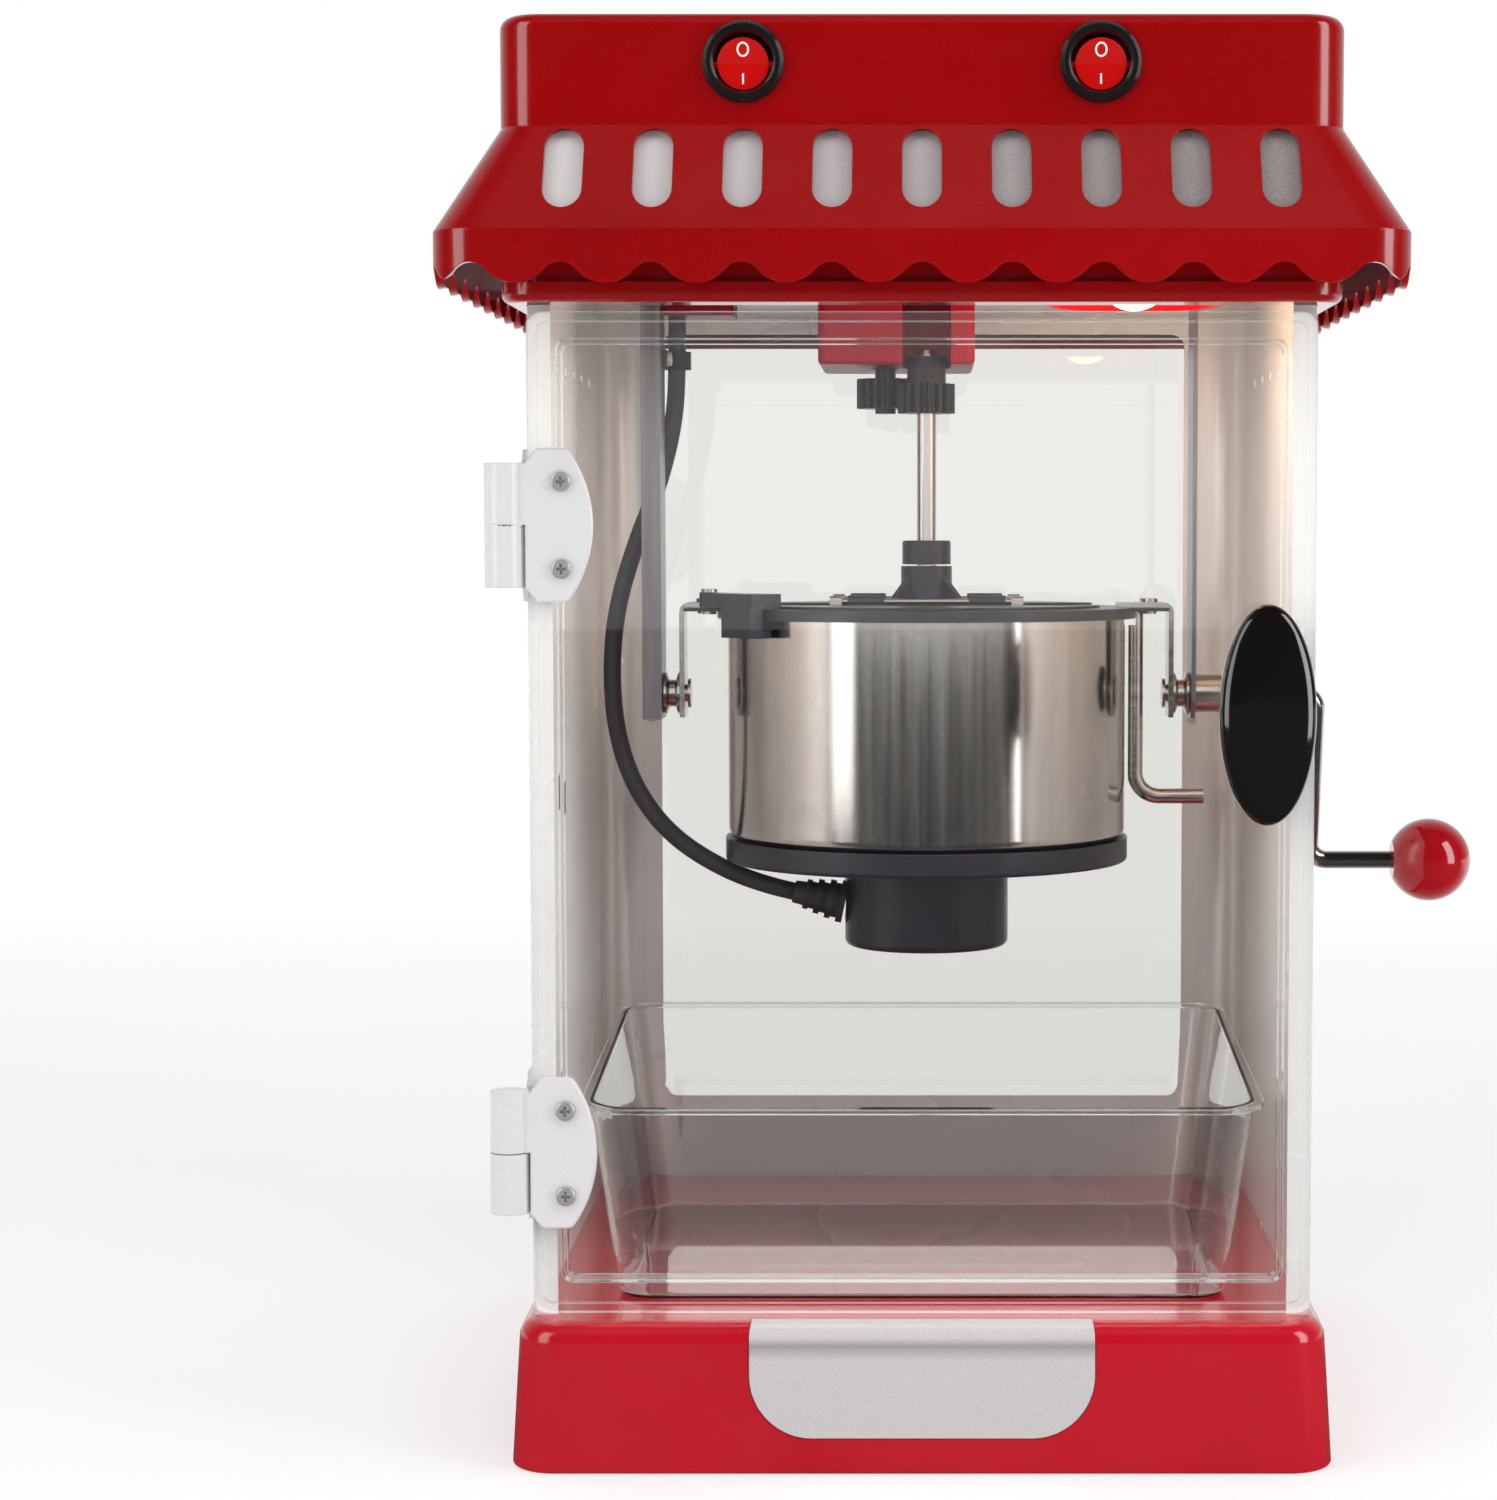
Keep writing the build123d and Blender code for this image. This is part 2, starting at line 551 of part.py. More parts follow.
switch_housings.part.label = "switch_housings"
export_step(switch_housings.part, "parts/switch_housings.step")

for side, sx in (("left", -SWITCH_X), ("right", SWITCH_X)):
    with BuildPart() as rocker:   # red rocker, lower half pressed in
        with BuildSketch(Plane(origin=(sx, 0, SWITCH_Z), x_dir=(0, 1, 0), z_dir=(1, 0, 0))):
            with BuildLine():
                Polyline((-120.9, -8.2), (-120.0, 0), (-120.9, 8.2), (-112.4, 8.2), (-111.8, 0), (-112.4, -8.2), close=True)
            make_face()
        extrude(amount=8, both=True)
        with BuildSketch(Plane(origin=(sx, -125, SWITCH_Z), x_dir=(1, 0, 0), z_dir=(0, 1, 0))):
            Circle(7.5)
        extrude(amount=20, mode=Mode.INTERSECT)
        with BuildSketch(Plane.YZ.offset(sx)):
            with Locations((ROCK_Y, SWITCH_Z)):
                Circle(1.0)
        extrude(amount=9.4, both=True)
    turned = rocker.part.rotate(Axis((sx, ROCK_Y, SWITCH_Z), (1, 0, 0)), 6.0)
    turned.label = "rocker_" + side
    export_step(turned, "parts/rocker_" + side + ".step")

with BuildPart() as mains_gland:   # strain relief bush for the mains cord, in the canopy's back wall
    with BuildSketch(Plane.XZ.offset(-119.0)):
        with Locations((GLAND_X, GLAND_Z)):
            RectangleRounded(17, 17, 3)
    extrude(amount=-4)
    with BuildSketch(Plane.XZ.offset(-116.0)):
        with Locations((GLAND_X, GLAND_Z)):
            RectangleRounded(12.7, 12.7, 1.6)
    extrude(amount=-3.2)
    with BuildSketch(Plane.XZ.offset(-106.0)):
        with Locations((GLAND_X, GLAND_Z)):
            RectangleRounded(12.0, 12.0, 1.6)
    extrude(amount=-10.2)
    with BuildSketch(Plane.XZ.offset(-100)):
        with Locations((GLAND_X, GLAND_Z)):
            Circle(3.7)
    extrude(amount=-40, mode=Mode.SUBTRACT)
mains_gland.part.label = "mains_gland"
export_step(mains_gland.part, "parts/mains_gland.step")

with BuildPart() as terminal_block:   # screw terminal strip on the ceiling plate
    with BuildSketch(Plane.XY.offset(CEIL_Z + 1)):
        with Locations((-70, 60)):
            Rectangle(40, 16)
    extrude(amount=6)
    with BuildSketch(Plane.XY.offset(CEIL_Z + 7)):
        with Locations(*[(-70 + 10 * (i - 1.5), 60) for i in range(4)]):
            Rectangle(8, 9)
    extrude(amount=6)
    with BuildSketch(Plane.XY.offset(CEIL_Z + 9)):
        with Locations(*[(-70 + 10 * (i - 1.5), 60) for i in range(4)]):
            Circle(2)
    extrude(amount=4, mode=Mode.SUBTRACT)
terminal_block.part.label = "terminal_block"
export_step(terminal_block.part, "parts/terminal_block.step")

# ================================================================ door
with BuildPart() as door_panel:   # clear moulded door with a raised border and a lip that enters the cabinet
    zc, zh = (DOOR_Z0 + DOOR_Z1) / 2, DOOR_Z1 - DOOR_Z0
    with BuildSketch(Plane.XZ.offset(-DOOR_BACK)):
        with Locations((0, zc)):
            RectangleRounded(236, zh, 4)
    extrude(amount=2.4)
    with BuildSketch(Plane.XZ.offset(-DOOR_FRONT)):
        with Locations((0, zc)):
            RectangleRounded(230, zh - 6, 3)
    extrude(amount=-0.8, mode=Mode.SUBTRACT)
    with BuildSketch(Plane.XZ.offset(-DOOR_BACK)):
        with Locations((0, zc + 0.5)):
            RectangleRounded(219, zh - 17, 3.5)
            RectangleRounded(216, zh - 20, 2.5, mode=Mode.SUBTRACT)
    extrude(amount=-5.4)
    with BuildSketch(Plane.XZ.offset(100)):
        with Locations(*[(-107.7, z + d) for z in HINGE_Z for d in (-13, 13)]):
            Circle(1.3)
        with Locations((103, 229 - 12), (103, 229 + 12)):
            Circle(1.5)
    extrude(amount=12, mode=Mode.SUBTRACT)
door_panel.part.label = "door_panel"
export_step(door_panel.part, "parts/door_panel.step")

for name, z0 in (("lower", HINGE_Z[0]), ("upper", HINGE_Z[1])):
    with BuildPart() as leaf:   # white hinge leaf on the door with the upper half of the barrel
        with BuildSketch(Plane.XZ.offset(-DOOR_FRONT)) as plate:
            with BuildLine():
                ThreePointArc((-106, z0 - 23), (-98.4, z0), (-106, z0 + 23))
                Polyline((-106, z0 + 23), (-115, z0 + 23), (-118.5, z0 + 18.6), (-118.5, z0 - 18.6), (-115, z0 - 23), (-106, z0 - 23))
            make_face()
            fillet(plate.vertices().filter_by(lambda v: v.X > -117), 2.5)
        extrude(amount=2.6)
        chamfer(leaf.faces().sort_by(Axis.Y)[0].edges(), 0.5)
        with BuildSketch(Plane.XY.offset(z0 + 0.15)):
            with Locations((HX, HY)):
                Circle(6.0)
            with Locations((-120.5, -108.6)):
                Rectangle(6, 2.0)
        extrude(amount=18.4)
        with BuildSketch(Plane.XY.offset(z0)):
            with Locations((HX, HY)):
                Circle(2.0 + RUN)
        extrude(amount=16.5, mode=Mode.SUBTRACT)
        with BuildSketch(Plane.XZ.offset(100)):
            with Locations((-107.7, z0 - 13), (-107.7, z0 + 13)):
                Circle(1.3)
        extrude(amount=12, mode=Mode.SUBTRACT)
    leaf.part.label = name + "_hinge_leaf"
    export_step(leaf.part, "parts/" + name + "_hinge_leaf.step")

    with BuildPart() as bracket:   # white hinge bracket on the cabinet's side with the lower half of the barrel
        with BuildSketch(Plane.YZ.offset(-CAB_X - 2.6)) as side:
            with BuildLine():
                ThreePointArc((-85, z0 - 23), (-78, z0), (-85, z0 + 23))
                Polyline((-85, z0 + 23), (-96, z0 + 23), (-99.2, z0 + 19), (-99.2, z0 - 19), (-96, z0 - 23), (-85, z0 - 23))
            make_face()
            fillet(side.vertices().filter_by(lambda v: v.X > -98), 3.0)
        extrude(amount=2.6)
        with BuildSketch(Plane.XY.offset(z0 - 18.6)):
            with Locations((HX, HY)):
                Circle(6.0)
            with Locations((-120.0, -101.2)):
                Rectangle(1.2, 5.4)
        extrude(amount=18.45)
        with BuildSketch(Plane.XY.offset(z0 - 16.5)):
            with Locations((HX, HY)):
                Circle(2.0)
        extrude(amount=20, mode=Mode.SUBTRACT)
        with BuildSketch(Plane.YZ.offset(-125)):
            with Locations((-88, z0 - 13), (-88, z0 + 13)):
                Circle(1.5)
        extrude(amount=10, mode=Mode.SUBTRACT)
    bracket.part.label = name + "_hinge_bracket"
    export_step(bracket.part, "parts/" + name + "_hinge_bracket.step")

with BuildPart() as hinge_pins:   # steel pins, fixed in the brackets
    for z0 in HINGE_Z:
        with BuildSketch(Plane.XY.offset(z0 - 16.5)):
            with Locations((HX, HY)):
                Circle(2.0)
        extrude(amount=32.5)
hinge_pins.part.label = "hinge_pins"
export_step(hinge_pins.part, "parts/hinge_pins.step")

with BuildPart() as door_handle:   # black oval knob
    with BuildSketch(Plane.XZ.offset(-DOOR_FRONT)):
        with Locations((103, 229)):
            Ellipse(8.5, 20)
    extrude(amount=6.5)
    with BuildSketch(Plane.XZ.offset(-DOOR_FRONT + 6)):
        with Locations((103, 229)):
            Ellipse(14.5, 33)
    extrude(amount=7.5)
    fillet(door_handle.faces().filter_by(Axis.Y).sort_by(Axis.Y)[0].edges(), 3.0)
    with BuildSketch(Plane.XZ.offset(101)):
        with Locations((103, 229 - 12), (103, 229 + 12)):
            Circle(1.5)
    extrude(amount=12, mode=Mode.SUBTRACT)
door_handle.part.label = "door_handle"
export_step(door_handle.part, "parts/door_handle.step")

with BuildPart() as door_magnet:   # magnet block behind the knob, held by the knob's two screws
    with BuildSketch(Plane.XZ.offset(-DOOR_BACK)):
        with Locations((102.5, 229)):
            RectangleRounded(10, 34, 1.5)
        with Locations((103, 229 - 12), (103, 229 + 12)):
            Circle(1.5, mode=Mode.SUBTRACT)
    extrude(amount=-4.6)
door_magnet.part.label = "door_magnet"
export_step(door_magnet.part, "parts/door_magnet.step")

# ================================================================ kettle
with BuildPart() as kettle_pot:   # steel pot
    with BuildSketch(KPL) as pot:
        with BuildLine():
            Polyline((0, POT_Z0), (POT_R, POT_Z0), (POT_R, POT_Z1 - 1.2), (69.0, POT_Z1 - 1.2), (69.0, POT_Z1), (POT_R - 0.8, POT_Z1), (POT_R - 0.8, POT_Z0 + 0.8), (0, POT_Z0 + 0.8), close=True)
        make_face()
        fillet(pot.vertices().filter_by(lambda v: abs(v.X - POT_R) < 0.01 and abs(v.Y - POT_Z0) < 0.01), 4.0)
        fillet(pot.vertices().filter_by(lambda v: abs(v.X - POT_R + 0.8) < 0.01 and abs(v.Y - POT_Z0 - 0.8) < 0.01), 3.2)
    revolve(axis=KAX)
kettle_pot.part.label = "kettle_pot"
export_step(kettle_pot.part, "parts/kettle_pot.step")

with BuildPart() as heater_plate:   # cast heater plate with its element, under the pot
    with BuildSketch(KPL):
        with BuildLine():
            Polyline((0, 177.2), (40, 177.2), (41, 174.9), (48, 174.9), (49, 177.2), (58, 177.2), (58, 180.4), (0, 180.4), close=True)
        make_face()
    revolve(axis=KAX)
heater_plate.part.label = "heater_plate"
export_step(heater_plate.part, "parts/heater_plate.step")

with BuildPart() as kettle_base:   # black base ring closing the pot's underside
    with BuildSketch(KPL) as kb:
        with BuildLine():
            Polyline((24, 173.2), (POT_R + 0.9, 173.2), (POT_R + 0.9, 181.2), (POT_R + 0.1, 181.2), (64.5, 179.2), (64.5, 174.4), (24, 174.4), close=True)
        make_face()
        fillet(kb.vertices().filter_by(lambda v: v.X > 67.5 and v.Y < 174), 1.4)
    revolve(axis=KAX)
kettle_base.part.label = "kettle_base"
export_step(kettle_base.part, "parts/kettle_base.step")

with BuildPart() as heater_cup:   # black terminal cup under the kettle
    with BuildSketch(KPL) as hc:
        with BuildLine():
            Polyline((0, 144), (27.6, 144), (27.6, 173.1), (25.6, 173.1), (25.6, 146), (0, 146), close=True)
        make_face()
        fillet(hc.vertices().filter_by(lambda v: v.X > 27 and v.Y < 145), 2.4)
    revolve(axis=KAX)
    with BuildSketch(Plane.YZ.offset(XK - 32)):
        with Locations((YK, 158.4)):
            Circle(4.0)
    extrude(amount=10, mode=Mode.SUBTRACT)
heater_cup.part.label = "heater_cup"
export_step(heater_cup.part, "parts/heater_cup.step")

with BuildPart() as thermostat:   # snap-disc thermostat against the heater plate
    with BuildSketch(Plane.XY.offset(168)):
        with Locations((XK, YK)):
            Circle(8)
    extrude(amount=9.1)
    with BuildSketch(Plane.XY.offset(163)):
        with Locations((XK - 5, YK), (XK + 5, YK)):
            Rectangle(0.8, 5)
    extrude(amount=5.5)
thermostat.part.label = "thermostat"
export_step(thermostat.part, "parts/thermostat.step")

# strain relief: a ribbed taper in line with the lead's last run, ending on its end face
SRL = 17.8
SR1 = Vector(*LEAD[-1])
SRD = (Vector(*LEAD[-2]) - SR1).normalized()
SR0 = SR1 - SRD * SRL
with BuildPart() as cup_room:
    with BuildSketch(Plane.XY.offset(140)):
        with Locations((XK, YK)):
            Circle(27.6)
    extrude(amount=40)

with BuildPart() as lead_strain_relief:
    with BuildSketch(Plane(origin=SR0, x_dir=SRD, z_dir=(0, -1, 0))):
        with BuildLine():
            Polyline((0, 0), (0, 7.2), (2.2, 7.2), (2.2, 5.9), (4.2, 5.9), (4.2, 6.6), (6.2, 6.6), (6.2, 5.2), (8.2, 5.2),
                     (8.2, 5.9), (10.2, 5.9), (10.2, 4.6), (12.2, 4.6), (12.2, 5.1), (14.0, 5.1), (14.0, 4.1), (SRL, 3.8), (SRL, 0), close=True)
        make_face()
    revolve(axis=Axis(SR0, SRD))
    add(cup_room.part, mode=Mode.SUBTRACT)
lead_strain_relief.part.label = "lead_strain_relief"
export_step(lead_strain_relief.part, "parts/lead_strain_relief.step")

LOBE = 15.0
with BuildPart() as lid_plate:   # black lid: turned-down rim, two lobes, a bridge between two half-moon openings
    with BuildSketch(Plane.XY.offset(LID_Z - 1.2)):
        with Locations((XK, YK)):
            Circle(70.5)
            Rectangle(2 * 81.0, 2 * LOBE)
    extrude(amount=1.2)
    with BuildSketch(Plane.XY.offset(LID_Z - 3.6)):
        with Locations((XK, YK)):
            Circle(70.5)
            Circle(69.4, mode=Mode.SUBTRACT)
    extrude(amount=2.6)
    with BuildSketch(Plane.XY.offset(LID_Z - 3)) as moons:
        with Locations((XK, YK)):
            Circle(59)
            Rectangle(140, 46, mode=Mode.SUBTRACT)
    extrude(amount=6, mode=Mode.SUBTRACT)
    with BuildSketch(Plane.XY.offset(LID_Z - 3)):
        with Locations((XK, YK)):
            Circle(4.5)
        with Locations(on_kettle(-75, 0), on_kettle(75, 4), on_kettle(75, -4), on_kettle(-72.5, -11)):
            Circle(1.5)
    extrude(amount=6, mode=Mode.SUBTRACT)
lid_plate.part.label = "lid_plate"
export_step(lid_plate.part, "parts/lid_plate.step")

with BuildPart() as lid_hub:   # ribbed plastic bush that guides the stirrer shaft through the lid
    with BuildSketch(Plane.XY.offset(LID_Z)):
        with Locations((XK, YK)):
            Circle(16.5)
    extrude(amount=2.6)
    with BuildSketch(Plane.XY.offset(LID_Z + 2.6)):
        with Locations((XK, YK)):
            Circle(8.6)
    extrude(amount=11.2)
    for i in range(4):
        a = 45 + 90 * i
        with BuildSketch(Plane(origin=(XK, YK, LID_Z), x_dir=(math.cos(math.radians(a)), math.sin(math.radians(a)), 0), z_dir=(math.sin(math.radians(a)), -math.cos(math.radians(a)), 0))):
            with BuildLine():
                Polyline((8, 2.0), (15.5, 2.0), (15.5, 3.6), (8.2, 10.5), close=True)
            make_face()
        extrude(amount=1.0, both=True)
    with BuildSketch(Plane.XY.offset(LID_Z - 1.2)):
        with Locations((XK, YK)):
            Circle(4.4)
    extrude(amount=1.2)
    with BuildSketch(Plane.XY.offset(LID_Z - 3)):
        with Locations((XK, YK)):
            Circle(SHAFT_R + RUN)
    extrude(amount=20, mode=Mode.SUBTRACT)
lid_hub.part.label = "lid_hub"
export_step(lid_hub.part, "parts/lid_hub.step")

FLAP_Y = 21.6      # distance of a flap's hinge axis from the kettle axis
FLAP_Z = LID_Z + 2.3
with BuildPart() as flap_hinge_rods:   # two rods in saddles riveted to the lid's bridge
    for s in (-1, 1):
        with BuildSketch(Plane.YZ.offset(XK - 31)):
            with Locations((YK + s * FLAP_Y, FLAP_Z)):
                Circle(1.0)
        extrude(amount=62)
        for x in (-30, 30):
            with BuildSketch(Plane.YZ.offset(XK + x - 2)):
                with Locations((YK + s * (FLAP_Y - 1.0), LID_Z + 2.0)):
                    RectangleRounded(6.0, 4.0, 1.0)
            extrude(amount=4)
flap_hinge_rods.part.label = "flap_hinge_rods"
export_step(flap_hinge_rods.part, "parts/flap_hinge_rods.step")

for name, s in (("flap_front", -1), ("flap_rear", 1)):
    with BuildPart() as flap:   # half-moon flap with two rolled knuckles round its rod
        with BuildSketch(Plane.XY.offset(LID_Z + 0.2)):
            with Locations((XK, YK)):
                Circle(62)
            with Locations((XK, YK - s * (70 - (FLAP_Y + 2.6)))):
                Rectangle(140, 140, mode=Mode.SUBTRACT)
        extrude(amount=0.8)
        for x in (-20, 20):
            with BuildSketch(Plane.YZ.offset(XK + x - 6)):
                with Locations((YK + s * FLAP_Y, FLAP_Z)):
                    Circle(2.0)
                with Locations((YK + s * (FLAP_Y + 2.0), LID_Z + 0.7)):
                    Rectangle(4.0, 1.0)
                with Locations((YK + s * FLAP_Y, FLAP_Z)):
                    Circle(1.0 + RUN, mode=Mode.SUBTRACT)
            extrude(amount=12)
        with BuildSketch(Plane.XY.offset(LID_Z + 0.2)):   # lifting tab
            with Locations((XK, YK + s * 60)):
                Rectangle(14, 8)
        extrude(amount=0.8)
    flap.part.label = name
    export_step(flap.part, "parts/" + name + ".step")

BR_Z0 = 221.5
for name, s in (("bracket_left", -1), ("bracket_right", 1)):
    with BuildPart() as br:   # bent strip from the lid's lobe down to the pivot
        with BuildSketch(KPL) as bend:
            with BuildLine():
                Polyline((s * 64, LID_Z), (s * 64, LID_Z + 1.7), (s * 83.0, LID_Z + 1.7), (s * 83.0, BR_Z0), (s * 81.3, BR_Z0), (s * 81.3, LID_Z), close=True)
            make_face()
            fillet(bend.vertices().filter_by(lambda v: abs(abs(v.X) - 83.0) < 0.01 and v.Y > LID_Z + 1), 3.5)
        extrude(amount=7, both=True)
        with BuildSketch(Plane.YZ.offset(XK + s * 85 - 4)):
            with Locations((YK, ZP)):
                Circle(3.0)
        extrude(amount=8, mode=Mode.SUBTRACT)
        with BuildSketch(Plane.XY.offset(LID_Z - 2)):
            with Locations(*([on_kettle(-75, 0)] if s < 0 else [on_kettle(75, 4), on_kettle(75, -4)])):
                Circle(1.5)
        extrude(amount=6, mode=Mode.SUBTRACT)
    br.part.label = name
    export_step(br.part, "parts/" + name + ".step")

with BuildPart() as bracket_rivets:   # rivets that fix the brackets, and the pin of the lid latch
    for p, top in ((on_kettle(-75, 0), LID_Z + 1.7), (on_kettle(75, 4), LID_Z + 1.7), (on_kettle(75, -4), LID_Z + 1.7), (on_kettle(-72.5, -11), LID_Z + 5.1)):
        with BuildSketch(Plane.XY.offset(LID_Z - 1.2)):
            with Locations(p):
                Circle(1.5)
        extrude(amount=top - LID_Z + 1.2)
        with BuildSketch(Plane.XY.offset(top)):
            with Locations(p):
                Circle(2.7)
        extrude(amount=1.2)
        with BuildSketch(Plane.XY.offset(LID_Z - 2.2)):
            with Locations(p):
                Circle(2.3)
        extrude(amount=1.0)
bracket_rivets.part.label = "bracket_rivets"
export_step(bracket_rivets.part, "parts/bracket_rivets.step")

with BuildPart() as pivot_pin:   # left pivot: shouldered pin with a flanged spool between hanger and bracket
    with BuildSketch(TPL):
        with BuildLine():
            Polyline((-91.6, 0), (-91.6, 3.0), (-90.4, 3.0), (-90.4, 6.2), (-89.1, 6.2), (-89.1, 3.0), (-87.0, 3.0), (-87.0, 7.0), (-86.1, 7.0), (-85.2, 4.6), (-83.2, 4.6), (-82.4, 7.0), (-81.5, 7.0), (-81.5, 3.0), (-79.0, 3.0), (-79.0, 5.0), (-78.0, 5.0), (-78.0, 0), close=True)
        make_face()
    revolve(axis=TAX)
pivot_pin.part.label = "pivot_pin"
export_step(pivot_pin.part, "parts/pivot_pin.step")

with BuildPart() as crank_handle:   # right pivot, boss and cranked rod in one turned and bent piece
    with BuildSketch(TPL):
        with BuildLine():
            Polyline((81.0, 0), (81.0, 5.0), (82.0, 5.0), (82.0, 3.0), (84.5, 3.0), (84.5, 7.0), (85.4, 7.0), (86.3, 4.6), (88.2, 4.6), (89.1, 7.0), (90.0, 7.0), (90.0, 3.0), (92.1, 3.0), (92.1, 6.4), (101, 6.4), (101, 0), close=True)
        make_face()
    revolve(axis=TAX)
    with BuildLine() as crank_line:
        FilletPolyline((100, YK, ZP), (133.5, YK, ZP), (133.5, 30, 171), (171.5, 30, 171), radius=6)
    with BuildSketch(Plane(origin=(100, YK, ZP), z_dir=(1, 0, 0))):
        Circle(3.0)
    sweep(path=crank_line.wires()[0])
crank_handle.part.label = "crank_handle"
export_step(crank_handle.part, "parts/crank_handle.step")

with BuildPart() as ball_knob:   # red ball on the crank, flat where the rod enters
    with BuildSketch(Plane(origin=(0, 30, 171), x_dir=(1, 0, 0), z_dir=(0, -1, 0))) as ball:
        with Locations((174.8, 0)):
            Circle(14.2)
        with Locations((174.8, -10)):
            Rectangle(40, 20, mode=Mode.SUBTRACT)
        with Locations((157, 0)):
            Rectangle(10, 40, mode=Mode.SUBTRACT)
        with Locations((167, 0)):
            Rectangle(10, 6, mode=Mode.SUBTRACT)
    revolve(axis=Axis((0, 30, 171), (1, 0, 0)))
    fillet(ball_knob.edges().filter_by(GeomType.CIRCLE).group_by(Axis.X)[0].sort_by(SortBy.RADIUS)[-1:], 0.6)
ball_knob.part.label = "ball_knob"
export_step(ball_knob.part, "parts/ball_knob.step")

with BuildPart() as rod_room:   # room for the pot and the lid's turned-down rim
    with BuildSketch(Plane.XY.offset(LID_Z - 6.1)):
        with Locations((XK, YK)):
            Circle(70.7)
    extrude(amount=6.2)
    with BuildSketch(Plane.XY.offset(170)):
        with Locations((XK, YK)):
            Circle(68.2)
    extrude(amount=90)

with BuildPart() as kettle_stop_rod:   # bent rod under the right lobe
    with BuildLine() as rod_line:
        FilletPolyline((XK + 70.6, YK, LID_Z - 1.2), (XK + 70.6, YK, 194.5), (95.3, YK, 194.5), radius=8)
    with BuildSketch(Plane(origin=(XK + 70.6, YK, LID_Z - 1.2), z_dir=(0, 0, -1))):
        Circle(2.6)
    sweep(path=rod_line.wires()[0])
    add(rod_room.part, mode=Mode.SUBTRACT)
kettle_stop_rod.part.label = "kettle_stop_rod"
export_step(kettle_stop_rod.part, "parts/kettle_stop_rod.step")

with BuildPart() as rim_space:   # room for the lid's rim inside the latch's jaw
    with BuildSketch(Plane.XY.offset(LID_Z - 6.4)):
        with Locations((XK, YK)):
            Circle(71.0)
    extrude(amount=6.7)
    with BuildSketch(Plane.XY.offset(LID_Z - 12)):
        with Locations((XK, YK)):
            Circle(68.0)
    extrude(amount=10)

LA = math.radians(216)
JX, JY = 70.5 * math.cos(LA), 70.5 * math.sin(LA)
with BuildPart() as lid_latch:   # black swing latch: an arm on a pin and a jaw over the lid's rim
    with BuildSketch(Plane.XY.offset(LID_Z + 0.3)):
        with Locations(on_kettle(-72.5, -11)):
            Circle(3.4)
        with BuildLine():
            Polyline(on_kettle(-75.7, -11.6), on_kettle(-66.0, -38.0), on_kettle(-58.0, -34.5), on_kettle(-69.3, -10.2), close=True)
        make_face()
        with Locations(Location((XK + JX * 70.2 / 70.5, YK + JY * 70.2 / 70.5, 0), (0, 0, 216))):
            Rectangle(12.6, 17)
    extrude(amount=4.8)
    fillet(lid_latch.edges().filter_by(Axis.Z).sort_by(Axis.Y)[0:2], 1.2)
    with BuildSketch(Plane.XY.offset(LID_Z - 9.2)):
        with Locations(Location((XK + 74.0 * math.cos(LA), YK + 74.0 * math.sin(LA), 0), (0, 0, 216))):
            Rectangle(5.0, 17)
    extrude(amount=10)
    with BuildSketch(Plane.XY.offset(LID_Z - 9.2)):
        with Locations(Location((XK + 72.4 * math.cos(LA), YK + 72.4 * math.sin(LA), 0), (0, 0, 216))):
            Rectangle(8.2, 17)
    extrude(amount=2.6)
    add(rim_space.part, mode=Mode.SUBTRACT)
    with BuildSketch(Plane.XY.offset(LID_Z)):
        with Locations(on_kettle(-72.5, -11)):
            Circle(1.5 + RUN)
    extrude(amount=8, mode=Mode.SUBTRACT)
lid_latch.part.label = "lid_latch"
export_step(lid_latch.part, "parts/lid_latch.step")

# ---------------------------------------------------------------- stirrer
with BuildPart() as stir_shaft:   # shaft with two wire arms that sweep the pot's floor
    with BuildSketch(Plane.XY.offset(181.6)):
        with Locations((XK, YK)):
            Circle(SHAFT_R)
    extrude(amount=344.5 - 181.6)
    with BuildSketch(Plane.XY.offset(181.6)):
        with Locations((XK, YK)):
            Circle(6.5)
    extrude(amount=10.4)
    for s in (-1, 1):
        with BuildLine() as arm:
            FilletPolyline((XK, YK, 184.8), (XK + s * 34, YK + s * 4, 184.8), (XK + s * 52, YK + s * 18, 184.8), (XK + s * 55, YK + s * 20, 196), radius=3)
        with BuildSketch(Plane(origin=(XK, YK, 184.8), z_dir=(s * 34, s * 4, 0))):
            Circle(1.6)
        sweep(path=arm.wires()[0])
    with BuildSketch(Plane.XY.offset(342.3)):
        with Locations((XK, YK)):
            Circle(4.6)
    extrude(amount=0.8)
stir_shaft.part.label = "stir_shaft"
export_step(stir_shaft.part, "parts/stir_shaft.step")

with BuildPart() as driven_gear:   # gear with a long collar, pinned on the shaft
    with BuildSketch(Plane.XY.offset(323.5)):
        with BuildLine():
            Polyline(*gear_points(GEAR_TEETH, GEAR_M, XK, YK, GEAR_DIR + math.pi / GEAR_TEETH), close=True)
        make_face()
    extrude(amount=9.8)
    with BuildSketch(Plane.XY.offset(333.3)):
        with Locations((XK, YK)):
            Circle(6.5)
    extrude(amount=9.0)
    with BuildSketch(Plane.XY.offset(320)):
        with Locations((XK, YK)):
            Circle(SHAFT_R)
    extrude(amount=30, mode=Mode.SUBTRACT)
driven_gear.part.label = "driven_gear"
export_step(driven_gear.part, "parts/driven_gear.step")

with BuildPart() as shaft_collar:   # stop collar above the lid hub
    with BuildSketch(Plane.XY.offset(272.9)):
        with Locations((XK, YK)):
            Circle(8.2)
    extrude(amount=8)
    fillet(shaft_collar.edges().group_by(Axis.Z)[-1], 0.8)
    with BuildSketch(Plane.XY.offset(270)):
        with Locations((XK, YK)):
            Circle(SHAFT_R)
    extrude(amount=15, mode=Mode.SUBTRACT)
shaft_collar.part.label = "shaft_collar"
export_step(shaft_collar.part, "parts/shaft_collar.step")

